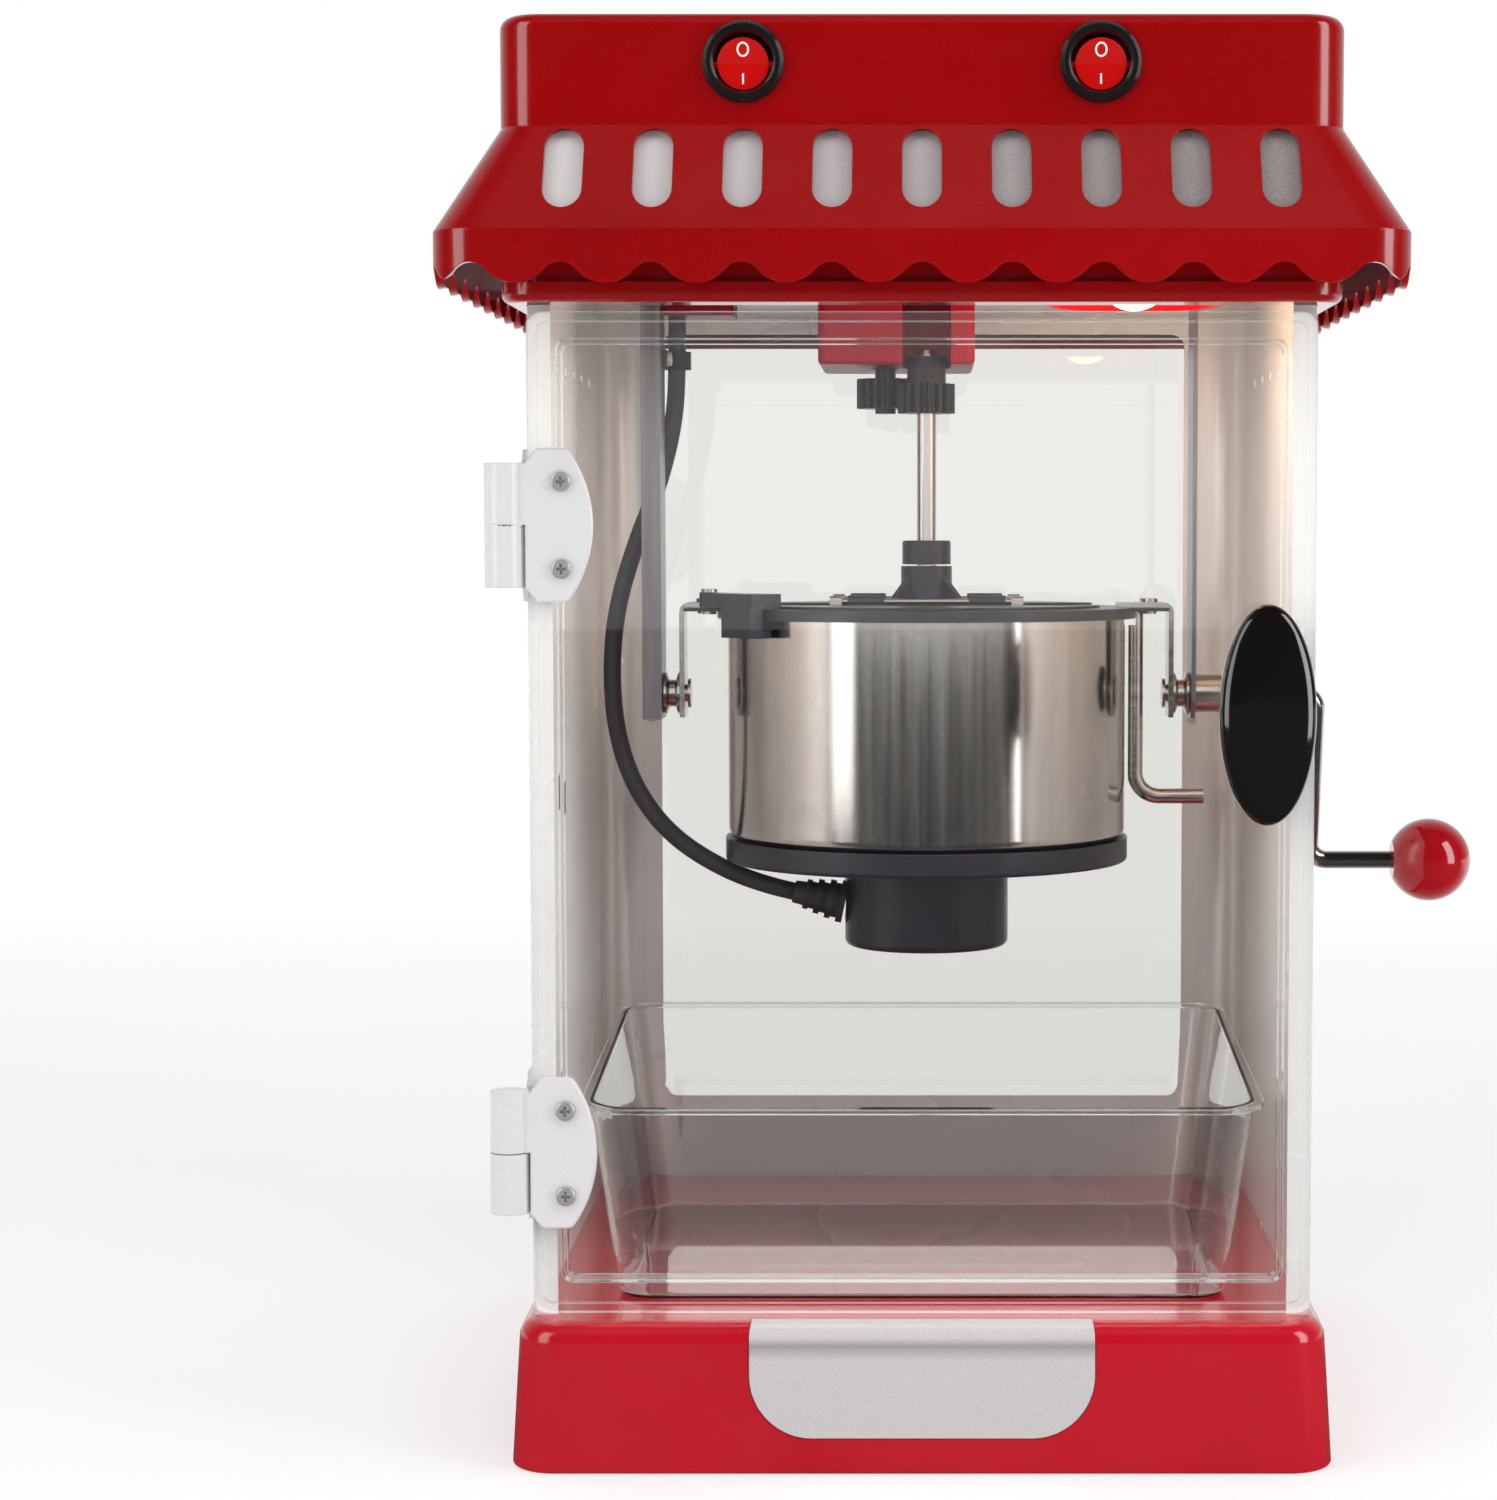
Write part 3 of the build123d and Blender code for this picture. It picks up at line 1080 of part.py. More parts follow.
# ================================================================ crank bush and tray
with BuildPart() as crank_bush:   # plastic bush where the crank passes the cabinet's side
    with BuildSketch(Plane.YZ.offset(115.0)):
        with Locations((YK, ZP)):
            Circle(5.9)
    extrude(amount=5)
    with BuildSketch(Plane.YZ.offset(CAB_X)):
        with Locations((YK, ZP)):
            Circle(9)
    extrude(amount=2.5)
    with BuildSketch(Plane.YZ.offset(114.0)):
        with Locations((YK, ZP)):
            Circle(8)
    extrude(amount=3.0)
    with BuildSketch(Plane.YZ.offset(100)):
        with Locations((YK, ZP)):
            Circle(3.0 + RUN)
    extrude(amount=30, mode=Mode.SUBTRACT)
crank_bush.part.label = "crank_bush"
export_step(crank_bush.part, "parts/crank_bush.step")

TRAY_Z = BASE_TOP + 0.1
RIM_TILT = math.degrees(math.atan((116.5 - 106.7) / 153))
with BuildPart() as popcorn_tray:   # clear bin with sloping walls and a narrow rim, higher at the back
    with BuildSketch(Plane.XY.offset(TRAY_Z)):
        with Locations((0, -16.5)):
            RectangleRounded(190, 138, 12)
    with BuildSketch(Plane.XY.offset(125)):
        with Locations((0, -15.0)):
            RectangleRounded(212.5, 158, 14)
    loft()
    fillet(popcorn_tray.faces().sort_by(Axis.Z)[0].edges(), 3)
    with BuildSketch(Plane.XY.offset(TRAY_Z + 1.8)):
        with Locations((0, -16.5)):
            RectangleRounded(187.2, 135.2, 10.6)
    with BuildSketch(Plane.XY.offset(125.1)):
        with Locations((0, -15.0)):
            RectangleRounded(209.3, 154.8, 12.5)
    loft(mode=Mode.SUBTRACT)
    rim = Plane(origin=(0, -15.5, 111.6), x_dir=(1, 0, 0), z_dir=(0, -math.sin(math.radians(RIM_TILT)), math.cos(math.radians(RIM_TILT))))
    with BuildSketch(rim):
        Rectangle(300, 300)
    extrude(amount=40, mode=Mode.SUBTRACT)
    with BuildSketch(rim):
        RectangleRounded(212.5, 158.0, 14)
        RectangleRounded(206.5, 152.0, 11, mode=Mode.SUBTRACT)
    extrude(amount=-1.6)
popcorn_tray.part.label = "popcorn_tray"
export_step(popcorn_tray.part, "parts/popcorn_tray.step")

# ================================================================ fasteners
def pan_head(z_dir, pos, shank, r=1.5, head_r=3.0, head_h=1.6):
    """A cross-head screw whose head seats at pos, with its shank running against z_dir."""
    seat = Plane(origin=pos, z_dir=z_dir)
    with BuildPart() as screw:
        with BuildSketch(seat):
            Circle(head_r)
        extrude(amount=head_h)
        fillet(screw.faces().sort_by(Axis(pos, z_dir))[-1].edges(), head_h * 0.5)
        with BuildSketch(seat.offset(head_h)):
            Rectangle(0.8, 3.0)
            Rectangle(3.0, 0.8)
        extrude(amount=-0.8, mode=Mode.SUBTRACT)
        with BuildSketch(seat):
            Circle(r)
        extrude(amount=-shank)
    return screw.part


fixed = [pan_head((0, 0, -1), (x, y, 3.0), 14) for x in (-108, 108) for y in (-102, 102)]
fixed += [pan_head((-1, 0, 0), (-CAB_X - 2.6, -88, z0 + d), 5) for z0 in HINGE_Z for d in (-13, 13)]
fixed += [pan_head((0, 1, 0), (x, CAB_BACK + 1.5, z), 3.2, head_r=2.8, head_h=1.3) for x in (-99.5, 99.5) for z in (90, 215, 340)]
fixed += [pan_head((0, 0, 1), (x, y, CEIL_Z + 1.0), h + 1.0) for x, y, h in
          ((-99, 13, 2.5), (102, 8, 2.5), (102, 18, 2.5), (-30, 1, 9), (13, 53, 9), (-77.5, 42, 2.9))]
fixed += [pan_head((1, 0, 0), (-86.1, 20, 342), 3.0, r=1.2, head_r=2.4)]
with BuildPart() as cabinet_screws:   # all screws and rivets of the fixed structure
    for screw in fixed:
        add(screw)
cabinet_screws.part.label = "cabinet_screws"
export_step(cabinet_screws.part, "parts/cabinet_screws.step")

on_door = [pan_head((0, -1, 0), (-107.7, DOOR_FRONT - 2.6, z0 + d), 4.7, r=1.3) for z0 in HINGE_Z for d in (-13, 13)]
on_door += [pan_head((0, 1, 0), (103, DOOR_BACK + 4.6, 229 + d), 10.5, head_r=2.8, head_h=1.4) for d in (-12, 12)]
with BuildPart() as door_screws:   # hinge leaf screws and the two knob screws
    for screw in on_door:
        add(screw)
door_screws.part.label = "door_screws"
export_step(door_screws.part, "parts/door_screws.step")
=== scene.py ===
import bpy, bmesh, math
from mathutils import Vector, Matrix


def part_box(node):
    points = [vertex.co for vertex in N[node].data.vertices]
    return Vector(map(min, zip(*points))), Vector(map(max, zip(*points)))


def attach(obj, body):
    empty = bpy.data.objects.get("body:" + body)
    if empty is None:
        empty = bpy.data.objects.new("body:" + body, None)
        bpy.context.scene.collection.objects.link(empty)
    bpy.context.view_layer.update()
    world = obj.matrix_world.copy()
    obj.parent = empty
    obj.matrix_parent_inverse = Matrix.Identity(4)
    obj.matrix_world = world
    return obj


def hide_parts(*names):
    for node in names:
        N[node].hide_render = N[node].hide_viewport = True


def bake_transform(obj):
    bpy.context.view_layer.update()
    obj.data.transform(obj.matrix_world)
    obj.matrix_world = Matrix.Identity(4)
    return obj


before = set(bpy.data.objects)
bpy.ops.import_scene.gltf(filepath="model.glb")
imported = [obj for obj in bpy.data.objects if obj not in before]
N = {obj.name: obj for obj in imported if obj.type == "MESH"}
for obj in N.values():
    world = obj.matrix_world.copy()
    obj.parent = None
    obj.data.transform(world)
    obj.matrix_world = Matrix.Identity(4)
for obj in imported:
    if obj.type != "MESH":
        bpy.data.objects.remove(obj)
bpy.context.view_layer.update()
scene = bpy.context.scene
scene.view_settings.view_transform = "Standard"
scene.view_settings.look = "None"

# ------------------------------------------------------------------ camera
cam_data = bpy.data.cameras.new("camera")
cam_data.sensor_width = 36.0
cam_data.lens = 75.24
cam_data.shift_x = -0.1157
cam_data.clip_start, cam_data.clip_end = 0.05, 50
cam = bpy.data.objects.new("camera", cam_data)
cam.location = (0.0, -1.047, 0.281)
cam.rotation_euler = (math.radians(90 - 3.83), 0, 0)
scene.collection.objects.link(cam)
scene.camera = cam


# ------------------------------------------------------------------ small helpers
def link_obj(name, me):
    o = bpy.data.objects.new(name, me)
    scene.collection.objects.link(o)
    return o


def mesh_obj(name, verts, faces, smooth=True):
    me = bpy.data.meshes.new(name)
    me.from_pydata([tuple(v) for v in verts], [], faces)
    me.validate()
    me.update()
    bm = bmesh.new()
    bm.from_mesh(me)
    bmesh.ops.recalc_face_normals(bm, faces=bm.faces)
    bm.to_mesh(me)
    bm.free()
    for p in me.polygons:
        p.use_smooth = smooth
    return link_obj(name, me)


def tube_mesh(name, pts, radius, sides=20, closed=False, caps=True):
    """Tube round a line of points, with frames carried along it so that it doesn't twist."""
    pts = [Vector(p) for p in pts]
    n = len(pts)
    tans = []
    for i in range(n):
        if closed:
            t = pts[(i + 1) % n] - pts[i - 1]
        else:
            t = pts[min(i + 1, n - 1)] - pts[max(i - 1, 0)]
        tans.append(t.normalized())
    ref = Vector((0, 1, 0)) if abs(tans[0].y) < 0.9 else Vector((1, 0, 0))
    u = (ref - tans[0] * ref.dot(tans[0])).normalized()
    verts, faces = [], []
    for i in range(n):
        u = (u - tans[i] * u.dot(tans[i])).normalized()
        v = tans[i].cross(u)
        r = radius(i / (n - 1)) if callable(radius) else radius
        for k in range(sides):
            a = 2 * math.pi * k / sides
            verts.append(pts[i] + u * (r * math.cos(a)) + v * (r * math.sin(a)))
    rows = n if closed else n - 1
    for i in range(rows):
        for k in range(sides):
            a, b = i * sides + k, i * sides + (k + 1) % sides
            c, d = ((i + 1) % n) * sides + (k + 1) % sides, ((i + 1) % n) * sides + k
            faces.append((a, b, c, d))
    if caps and not closed:
        faces.append(tuple(range(sides))[::-1])
        faces.append(tuple((n - 1) * sides + k for k in range(sides)))
    return mesh_obj(name, verts, faces)


# ------------------------------------------------------------------ materials
class Mat:
    """A procedural material: one Principled shader fed by noise in the piece's own coordinates."""

    def __init__(self, name):
        self.m = bpy.data.materials.new(name)
        self.m.use_nodes = True
        self.nt = self.m.node_tree
        self.p = self.nt.nodes["Principled BSDF"]
        self.out = self.nt.nodes["Material Output"]
        self.tc = self.nt.nodes.new("ShaderNodeTexCoord")
        self.normal = None

    def new(self, kind, **props):
        n = self.nt.nodes.new("ShaderNode" + kind)
        for k, v in props.items():
            setattr(n, k, v)
        return n

    def link(self, a, b):
        self.nt.links.new(a, b)

    def coords(self, stretch=(1, 1, 1), rot=(0, 0, 0)):
        mp = self.new("Mapping")
        mp.inputs["Scale"].default_value = stretch
        mp.inputs["Rotation"].default_value = rot
        self.link(self.tc.outputs["Object"], mp.inputs["Vector"])
        return mp.outputs["Vector"]

    def noise(self, scale, detail=3.0, rough=0.55, stretch=(1, 1, 1), rot=(0, 0, 0), distortion=0.0):
        n = self.new("TexNoise")
        n.inputs["Scale"].default_value = scale
        n.inputs["Detail"].default_value = detail
        n.inputs["Roughness"].default_value = rough
        n.inputs["Distortion"].default_value = distortion
        self.link(self.coords(stretch, rot), n.inputs["Vector"])
        return n.outputs["Fac"]

    def remap(self, fac, lo, hi, a=0.3, b=0.7):
        r = self.new("MapRange")
        r.inputs["From Min"].default_value = a
        r.inputs["From Max"].default_value = b
        r.inputs["To Min"].default_value = lo
        r.inputs["To Max"].default_value = hi
        self.link(fac, r.inputs["Value"])
        return r.outputs["Result"]

    def mix(self, fac, c1, c2):
        x = self.new("Mix", data_type="RGBA")
        for sock, c in ((x.inputs[6], c1), (x.inputs[7], c2)):
            if hasattr(c, "is_output"):
                self.link(c, sock)
            else:
                sock.default_value = (*c, 1)
        self.link(fac, x.inputs[0])
        return x.outputs[2]

    def bump(self, fac, strength, distance):
        b = self.new("Bump")
        b.inputs["Strength"].default_value = strength
        b.inputs["Distance"].default_value = distance
        self.link(fac, b.inputs["Height"])
        if self.normal is not None:
            self.link(self.normal, b.inputs["Normal"])
        self.normal = b.outputs["Normal"]
        self.link(self.normal, self.p.inputs["Normal"])

    def bevel(self, radius):
        b = self.new("Bevel", samples=4)
        b.inputs["Radius"].default_value = radius
        self.normal = b.outputs["Normal"]
        self.link(self.normal, self.p.inputs["Normal"])
        return b.outputs["Normal"]

    def edge_mask(self, radius, lo=0.02, hi=0.30):
        """1 along sharp edges, 0 on flat ground."""
        b = self.new("Bevel", samples=4)
        b.inputs["Radius"].default_value = radius
        g = self.new("NewGeometry")
        d = self.new("VectorMath", operation="DOT_PRODUCT")
        self.link(b.outputs["Normal"], d.inputs[0])
        self.link(g.outputs["Normal"], d.inputs[1])
        inv = self.new("Math", operation="SUBTRACT")
        inv.inputs[0].default_value = 1.0
        self.link(d.outputs["Value"], inv.inputs[1])
        return self.remap(inv.outputs[0], 0.0, 1.0, lo, hi)

    def color(self, sock):
        self.link(sock, self.p.inputs["Base Color"])

    def rough(self, sock):
        self.link(sock, self.p.inputs["Roughness"])

    def set(self, **kw):
        for k, v in kw.items():
            name = k.replace("_", " ")
            s = self.p.inputs[name]
            s.default_value = v if not isinstance(v, tuple) or len(v) == 4 else (*v, 1)
        return self


def gloss_plastic(name, base, deep, rough=(0.16, 0.30), coat=0.7, peel=0.00006, edge=0.0006, light=None, speck=None):
    m = Mat(name)
    m.bevel(edge)
    cloud = m.noise(9.0, 4.0, 0.6)
    col = m.mix(m.remap(cloud, 0, 1, 0.35, 0.65), deep, base)
    if speck:
        col = m.mix(m.remap(m.noise(900.0, 1.0, 0.5), 0, 0.5, 0.58, 0.75), col, speck)
    # painted highlight: the edges are mixed toward the lighter light colour through the edge mask
    if light:
        col = m.mix(m.remap(m.edge_mask(edge * 1.4), 0, 0.35, 0, 1), col, light)
    m.color(col)
    smear = m.noise(26.0, 6.0, 0.7, distortion=0.6)
    m.rough(m.remap(smear, rough[0], rough[1], 0.3, 0.7))
    m.bump(m.noise(210.0, 3.0, 0.5), 0.35, peel)
    m.set(Coat_Weight=coat, Coat_Roughness=0.06, IOR=1.5)
    return m


def matte_plastic(name, base, light, rough=(0.45, 0.62), grain=0.00012, scale=1100.0, edge=0.0005, coat=0.0):
    m = Mat(name)
    m.bevel(edge)
    col = m.mix(m.remap(m.noise(14.0, 5.0, 0.6), 0, 1), base, light)
    # painted highlight: edges are mixed toward a much lighter copy of the light colour
    col = m.mix(m.remap(m.edge_mask(edge * 1.5), 0, 0.4, 0, 1), col, tuple(min(1, c * 2.2 + 0.02) for c in light))
    m.color(col)
    m.rough(m.remap(m.noise(60.0, 5.0, 0.7), rough[0], rough[1]))
    m.bump(m.noise(scale, 2.0, 0.5), 0.5, grain)
    m.set(Coat_Weight=coat, Coat_Roughness=0.2)
    return m


def brushed(name, base, dark, rough=(0.16, 0.34), along="Z", lines=700.0, depth=0.00003, aniso=0.0, edge=0.0003, bright=(0.95, 0.94, 0.93), big=6.0, streak=0.25, metal=1.0, smudge=0.0002):
    """Metal with fine lines along one axis."""
    m = Mat(name)
    m.bevel(edge)
    st = {"X": (0.02, 1, 1), "Y": (1, 0.02, 1), "Z": (1, 1, 0.02)}[along]
    fine = m.noise(lines, 3.0, 0.6, stretch=st)
    tint = m.noise(big, 3.0, 0.5, stretch=tuple(0.35 if s < 1 else 1 for s in st))
    col = m.mix(m.remap(tint, 0, 1), dark, base)
    col = m.mix(m.remap(fine, 0, streak, 0.45, 0.8), col, bright)
    m.color(col)
    m.rough(m.remap(fine, rough[0], rough[1], 0.3, 0.75))
    m.bump(fine, 0.35, depth)
    m.bump(m.noise(11.0, 4.0, 0.6, distortion=1.0), 0.15, smudge)
    m.set(Metallic=metal, Anisotropic=aniso)
    return m


def clear_plastic(name, tint=(0.985, 0.99, 0.99), rough=(0.0, 0.05), ripple=0.00010, ior=1.49, edge=0.0, edge_highlight=0.45):
    """Clear moulded plastic that lets lamps through: light scuffs, faint flow ripple, and painted white highlights
    along the rims when edge is set.
    """
    m = Mat(name)
    m.rough(m.remap(m.noise(40.0, 8.0, 0.75, distortion=1.5), rough[0], rough[1], 0.45, 0.8))
    m.bump(m.noise(7.0, 2.0, 0.5), 0.25, ripple)
    m.set(Transmission_Weight=1.0, IOR=ior, Base_Color=(*tint, 1))
    # painted highlight: along the edges transmission drops and the white base colour shows as bright rims
    if edge:
        m.link(m.remap(m.edge_mask(edge), 1.0, 1.0 - edge_highlight, 0.1, 0.9), m.p.inputs["Transmission Weight"])
    lp = m.new("LightPath")
    tr = m.new("BsdfTransparent")
    tr.inputs["Color"].default_value = (*tint, 1)
    mx = m.new("MixShader")
    m.link(lp.outputs["Is Shadow Ray"], mx.inputs[0])
    m.link(m.p.outputs[0], mx.inputs[1])
    m.link(tr.outputs[0], mx.inputs[2])
    m.link(mx.outputs[0], m.out.inputs["Surface"])
    return m


# one red plastic in two copies: the base's copy is lighter, with light from below and the front painted into it
RED = gloss_plastic("red_gloss_canopy", (0.37, 0.0010, 0.0022), (0.30, 0.0008, 0.0016), rough=(0.15, 0.24), coat=0.7, edge=0.0008, light=(0.50, 0.006, 0.010), speck=(0.44, 0.004, 0.008), peel=0.00003)
REDB = gloss_plastic("red_gloss_base_painted_lit", (0.62, 0.006, 0.022), (0.54, 0.005, 0.017), rough=(0.15, 0.24), coat=0.7, edge=0.0008, light=(0.62, 0.02, 0.035), speck=(0.60, 0.012, 0.028), peel=0.00003)
REDH = gloss_plastic("red_housing", (0.27, 0.003, 0.013), (0.21, 0.002, 0.009), rough=(0.30, 0.42), coat=0.0, edge=0.0005)
REDH.set(Specular_IOR_Level=0.12)
BALL = gloss_plastic("red_ball", (0.52, 0.006, 0.014), (0.44, 0.004, 0.010), rough=(0.08, 0.16), coat=1.0, edge=0.0004, peel=0.00002)
WHITE = gloss_plastic("white_hinge_plastic", (0.83, 0.82, 0.83), (0.78, 0.775, 0.79), rough=(0.22, 0.36), coat=0.3, edge=0.0006, peel=0.00004)
BLACKG = gloss_plastic("black_gloss", (0.007, 0.006, 0.006), (0.005, 0.0045, 0.0045), rough=(0.05, 0.12), coat=1.0, edge=0.0006, peel=0.00001)
BEZEL = gloss_plastic("black_bezel", (0.010, 0.010, 0.010), (0.007, 0.007, 0.007), rough=(0.22, 0.34), coat=0.4, edge=0.0005, peel=0.00003)
BLACK = matte_plastic("black_moulding", (0.010, 0.010, 0.013), (0.018, 0.018, 0.023))
CUP = matte_plastic("bakelite", (0.013, 0.012, 0.021), (0.023, 0.022, 0.034), rough=(0.30, 0.45), coat=0.15)
NYLON = matte_plastic("gear_nylon", (0.013, 0.013, 0.015), (0.022, 0.022, 0.025), rough=(0.35, 0.5), edge=0.0002)
RUBBER = matte_plastic("soft_rubber", (0.028, 0.026, 0.031), (0.040, 0.037, 0.044), rough=(0.5, 0.66), grain=0.00008, edge=0.0003)
LIDM = matte_plastic("lid_coating", (0.014, 0.014, 0.016), (0.026, 0.026, 0.030), rough=(0.28, 0.42), grain=0.00005, edge=0.0003, coat=0.2)
SOCKET = matte_plastic("socket_moulding", (0.62, 0.60, 0.55), (0.70, 0.68, 0.63))
SILVER = brushed("silver_trim", (0.86, 0.825, 0.83), (0.82, 0.78, 0.79), rough=(0.30, 0.38), along="X", lines=1400.0, depth=0.00001, big=3.0, bright=(0.92, 0.89, 0.89), metal=0.25)
VENT = Mat("vent_silver")
VENT.bevel(0.0004)
# painted light: the vent backing runs from lit and pale on its left to shaded grey on its right
vsep = VENT.new("SeparateXYZ")
VENT.link(VENT.tc.outputs["Object"], vsep.inputs[0])
vent_painted_light_ramp = VENT.remap(vsep.outputs["X"], 0, 1, -0.125, 0.06)
vent_lit_to_shaded_col = VENT.mix(vent_painted_light_ramp, (0.92, 0.88, 0.89), (0.36, 0.31, 0.31))
VENT.color(VENT.mix(VENT.remap(VENT.noise(1600.0, 2.0), 0, 0.25, 0.4, 0.75), vent_lit_to_shaded_col, (0.80, 0.78, 0.78)))
VENT.rough(VENT.remap(VENT.noise(70.0, 4.0), 0.34, 0.46))
VENT.bump(VENT.noise(1400.0, 2.0), 0.3, 0.00003)
VENT.set(Metallic=0.25)
SHEET = Mat("cabinet_sheet")
SHEET.bevel(0.0003)
broad = SHEET.noise(2.6, 3.0, 0.5, stretch=(1, 1, 0.35))
roll = SHEET.noise(34.0, 3.0, 0.5, stretch=(1, 1, 0.04))
fog = SHEET.noise(13.0, 3.0, 0.5)
scol = SHEET.mix(SHEET.remap(broad, 0, 1, 0.1, 0.9), (0.88, 0.84, 0.815), (0.96, 0.945, 0.93))
SHEET.color(SHEET.mix(SHEET.remap(roll, 0, 0.14, 0.15, 0.9), scol, (0.78, 0.72, 0.69)))
SHEET.rough(SHEET.remap(fog, 0.20, 0.32, 0.1, 0.9))
SHEET.bump(broad, 0.1, 0.0004)
SHEET.set(Metallic=0.30)
HANG = brushed("galvanised_strip", (0.36, 0.34, 0.36), (0.25, 0.23, 0.25), rough=(0.28, 0.42), along="Z", lines=600.0)
POT = brushed("kettle_steel", (0.66, 0.63, 0.60), (0.58, 0.55, 0.52), rough=(0.09, 0.17), along="Z", lines=260.0, depth=0.00001, aniso=0.35, big=12.0, bright=(0.75, 0.73, 0.71))
PLATE = brushed("plated_steel", (0.66, 0.63, 0.60), (0.50, 0.47, 0.45), rough=(0.12, 0.26), along="X", lines=500.0)
BADGE = Mat("badge_satin")
BADGE.bevel(0.0004)
bsep = BADGE.new("SeparateXYZ")
BADGE.link(BADGE.tc.outputs["Object"], bsep.inputs[0])
# painted shade: a darker band across the badge where it bends over the base's front edge
up = BADGE.remap(bsep.outputs["Z"], 0.0, 1.0, 0.0345, 0.0388)
down = BADGE.remap(bsep.outputs["Z"], 1.0, 0.0, 0.0388, 0.0412)
bend_painted_shade = BADGE.new("Math", operation="MULTIPLY")
BADGE.link(up, bend_painted_shade.inputs[0])
BADGE.link(down, bend_painted_shade.inputs[1])
satin = BADGE.mix(BADGE.remap(BADGE.noise(1500.0, 2.0), 0, 1), (0.80, 0.76, 0.77), (0.88, 0.85, 0.855))
BADGE.color(BADGE.mix(bend_painted_shade.outputs[0], satin, (0.50, 0.46, 0.485)))
BADGE.rough(BADGE.remap(BADGE.noise(80.0, 4.0), 0.30, 0.40))
BADGE.bump(BADGE.noise(1200.0, 2.0), 0.3, 0.00003)
BADGE.set(Metallic=0.25)
SCREW = brushed("screw_heads", (0.74, 0.72, 0.70), (0.62, 0.60, 0.58), rough=(0.26, 0.38), along="X", lines=700.0, metal=0.55)
SHAFT = brushed("turned_shaft", (0.70, 0.68, 0.66), (0.55, 0.53, 0.51), rough=(0.12, 0.24), along="Z", lines=700.0)
CAST = brushed("cast_aluminium", (0.55, 0.54, 0.53), (0.42, 0.41, 0.40), rough=(0.4, 0.55), along="X", lines=300.0)
CLEAR = clear_plastic("clear_door", rough=(0.0, 0.02), ripple=0.00004, edge=0.0009, edge_highlight=0.5)
CLEARW = clear_plastic("clear_window", tint=(0.86, 0.855, 0.82), rough=(0.0, 0.02), ripple=0.00003)
TRAY = clear_plastic("clear_tray", tint=(0.975, 0.98, 0.975), ripple=0.00008, rough=(0.0, 0.03), edge=0.0010, edge_highlight=0.4)

# translucent red rocker; a faint glow is painted in as emission, with no lamp behind it
RED_ROCKER = gloss_plastic("red_lens", (0.60, 0.004, 0.004), (0.50, 0.003, 0.003), rough=(0.08, 0.16), coat=1.0, edge=0.0004, peel=0.00001)
RED_ROCKER.set(Emission_Color=(1.0, 0.010, 0.008, 1), Emission_Strength=0.12, Subsurface_Weight=0.25)
# white O and I print; a faint glow is painted in as emission
MARK = gloss_plastic("white_print", (0.92, 0.86, 0.84), (0.85, 0.78, 0.76), rough=(0.3, 0.4), coat=0.0, edge=0.0001, peel=0.0)
MARK.set(Emission_Color=(1, 0.85, 0.82, 1), Emission_Strength=0.25)

# lamp: warm frosted glass that glows, metal cap below the neck
LAMP = Mat("lamp_glass")
LAMP.color(LAMP.mix(LAMP.remap(LAMP.noise(90.0, 3.0), 0, 1), (1.0, 0.86, 0.62), (1.0, 0.92, 0.75)))
LAMP.rough(LAMP.remap(LAMP.noise(300.0, 3.0), 0.25, 0.4))
LAMP.bump(LAMP.noise(900.0, 2.0), 0.3, 0.00004)
LAMP.set(Emission_Color=(1.0, 0.72, 0.40, 1), Emission_Strength=1.5, Subsurface_Weight=0.3)

by_node = {
    "base_shell": REDB, "top_frame": RED, "canopy_shell": RED, "motor_housing": REDH, "lead_socket": REDH, "lamp_reflector": REDH,
    "badge_plate": BADGE, "vent_backing": VENT, "wrap_panel": SHEET, "ceiling_plate": SHEET, "hanger_left": HANG, "hanger_right": HANG,
    "gear_motor": PLATE, "door_panel": CLEAR, "rear_window": CLEARW, "popcorn_tray": TRAY, "base_cover": BLACK, "kettle_base": CUP,
    "heater_cup": CUP, "lid_latch": CUP, "shaft_collar": CUP, "terminal_block": BLACK, "door_magnet": BLACK, "lead_clip": BLACK,
    "mains_gland": BLACK, "crank_bush": BLACK, "lid_hub": CUP, "door_handle": BLACKG, "switch_housings": BEZEL, "lid_plate": LIDM,
    "flap_front": LIDM, "flap_rear": LIDM, "kettle_pot": POT, "heater_plate": CAST, "thermostat": CAST, "bracket_left": PLATE,
    "bracket_right": PLATE, "bracket_rivets": PLATE, "pivot_pin": PLATE, "crank_handle": PLATE, "kettle_stop_rod": PLATE,
    "flap_hinge_rods": PLATE, "stir_shaft": SHAFT, "hinge_pins": PLATE, "cabinet_screws": SCREW, "door_screws": SCREW, "ball_knob": BALL,
    "upper_hinge_leaf": WHITE, "lower_hinge_leaf": WHITE, "upper_hinge_bracket": WHITE, "lower_hinge_bracket": WHITE, "lamp_bulb": LAMP,
    "lamp_socket": SOCKET, "drive_gear": NYLON, "driven_gear": NYLON, "rocker_left": RED_ROCKER, "rocker_right": RED_ROCKER, "rubber_feet": RUBBER,
    "lead_strain_relief": RUBBER, "kettle_lead": RUBBER,
}
for name, o in N.items():
    m = by_node[name]
    if len(o.material_slots) == 0:
        o.data.materials.append(m.m)
    for s in o.material_slots:
        s.material = m.m
    for poly in o.data.polygons:
        poly.use_smooth = True
    with bpy.context.temp_override(active_object=o, selected_objects=[o], selected_editable_objects=[o], object=o):
        bpy.ops.object.shade_smooth_by_angle(angle=math.radians(32))

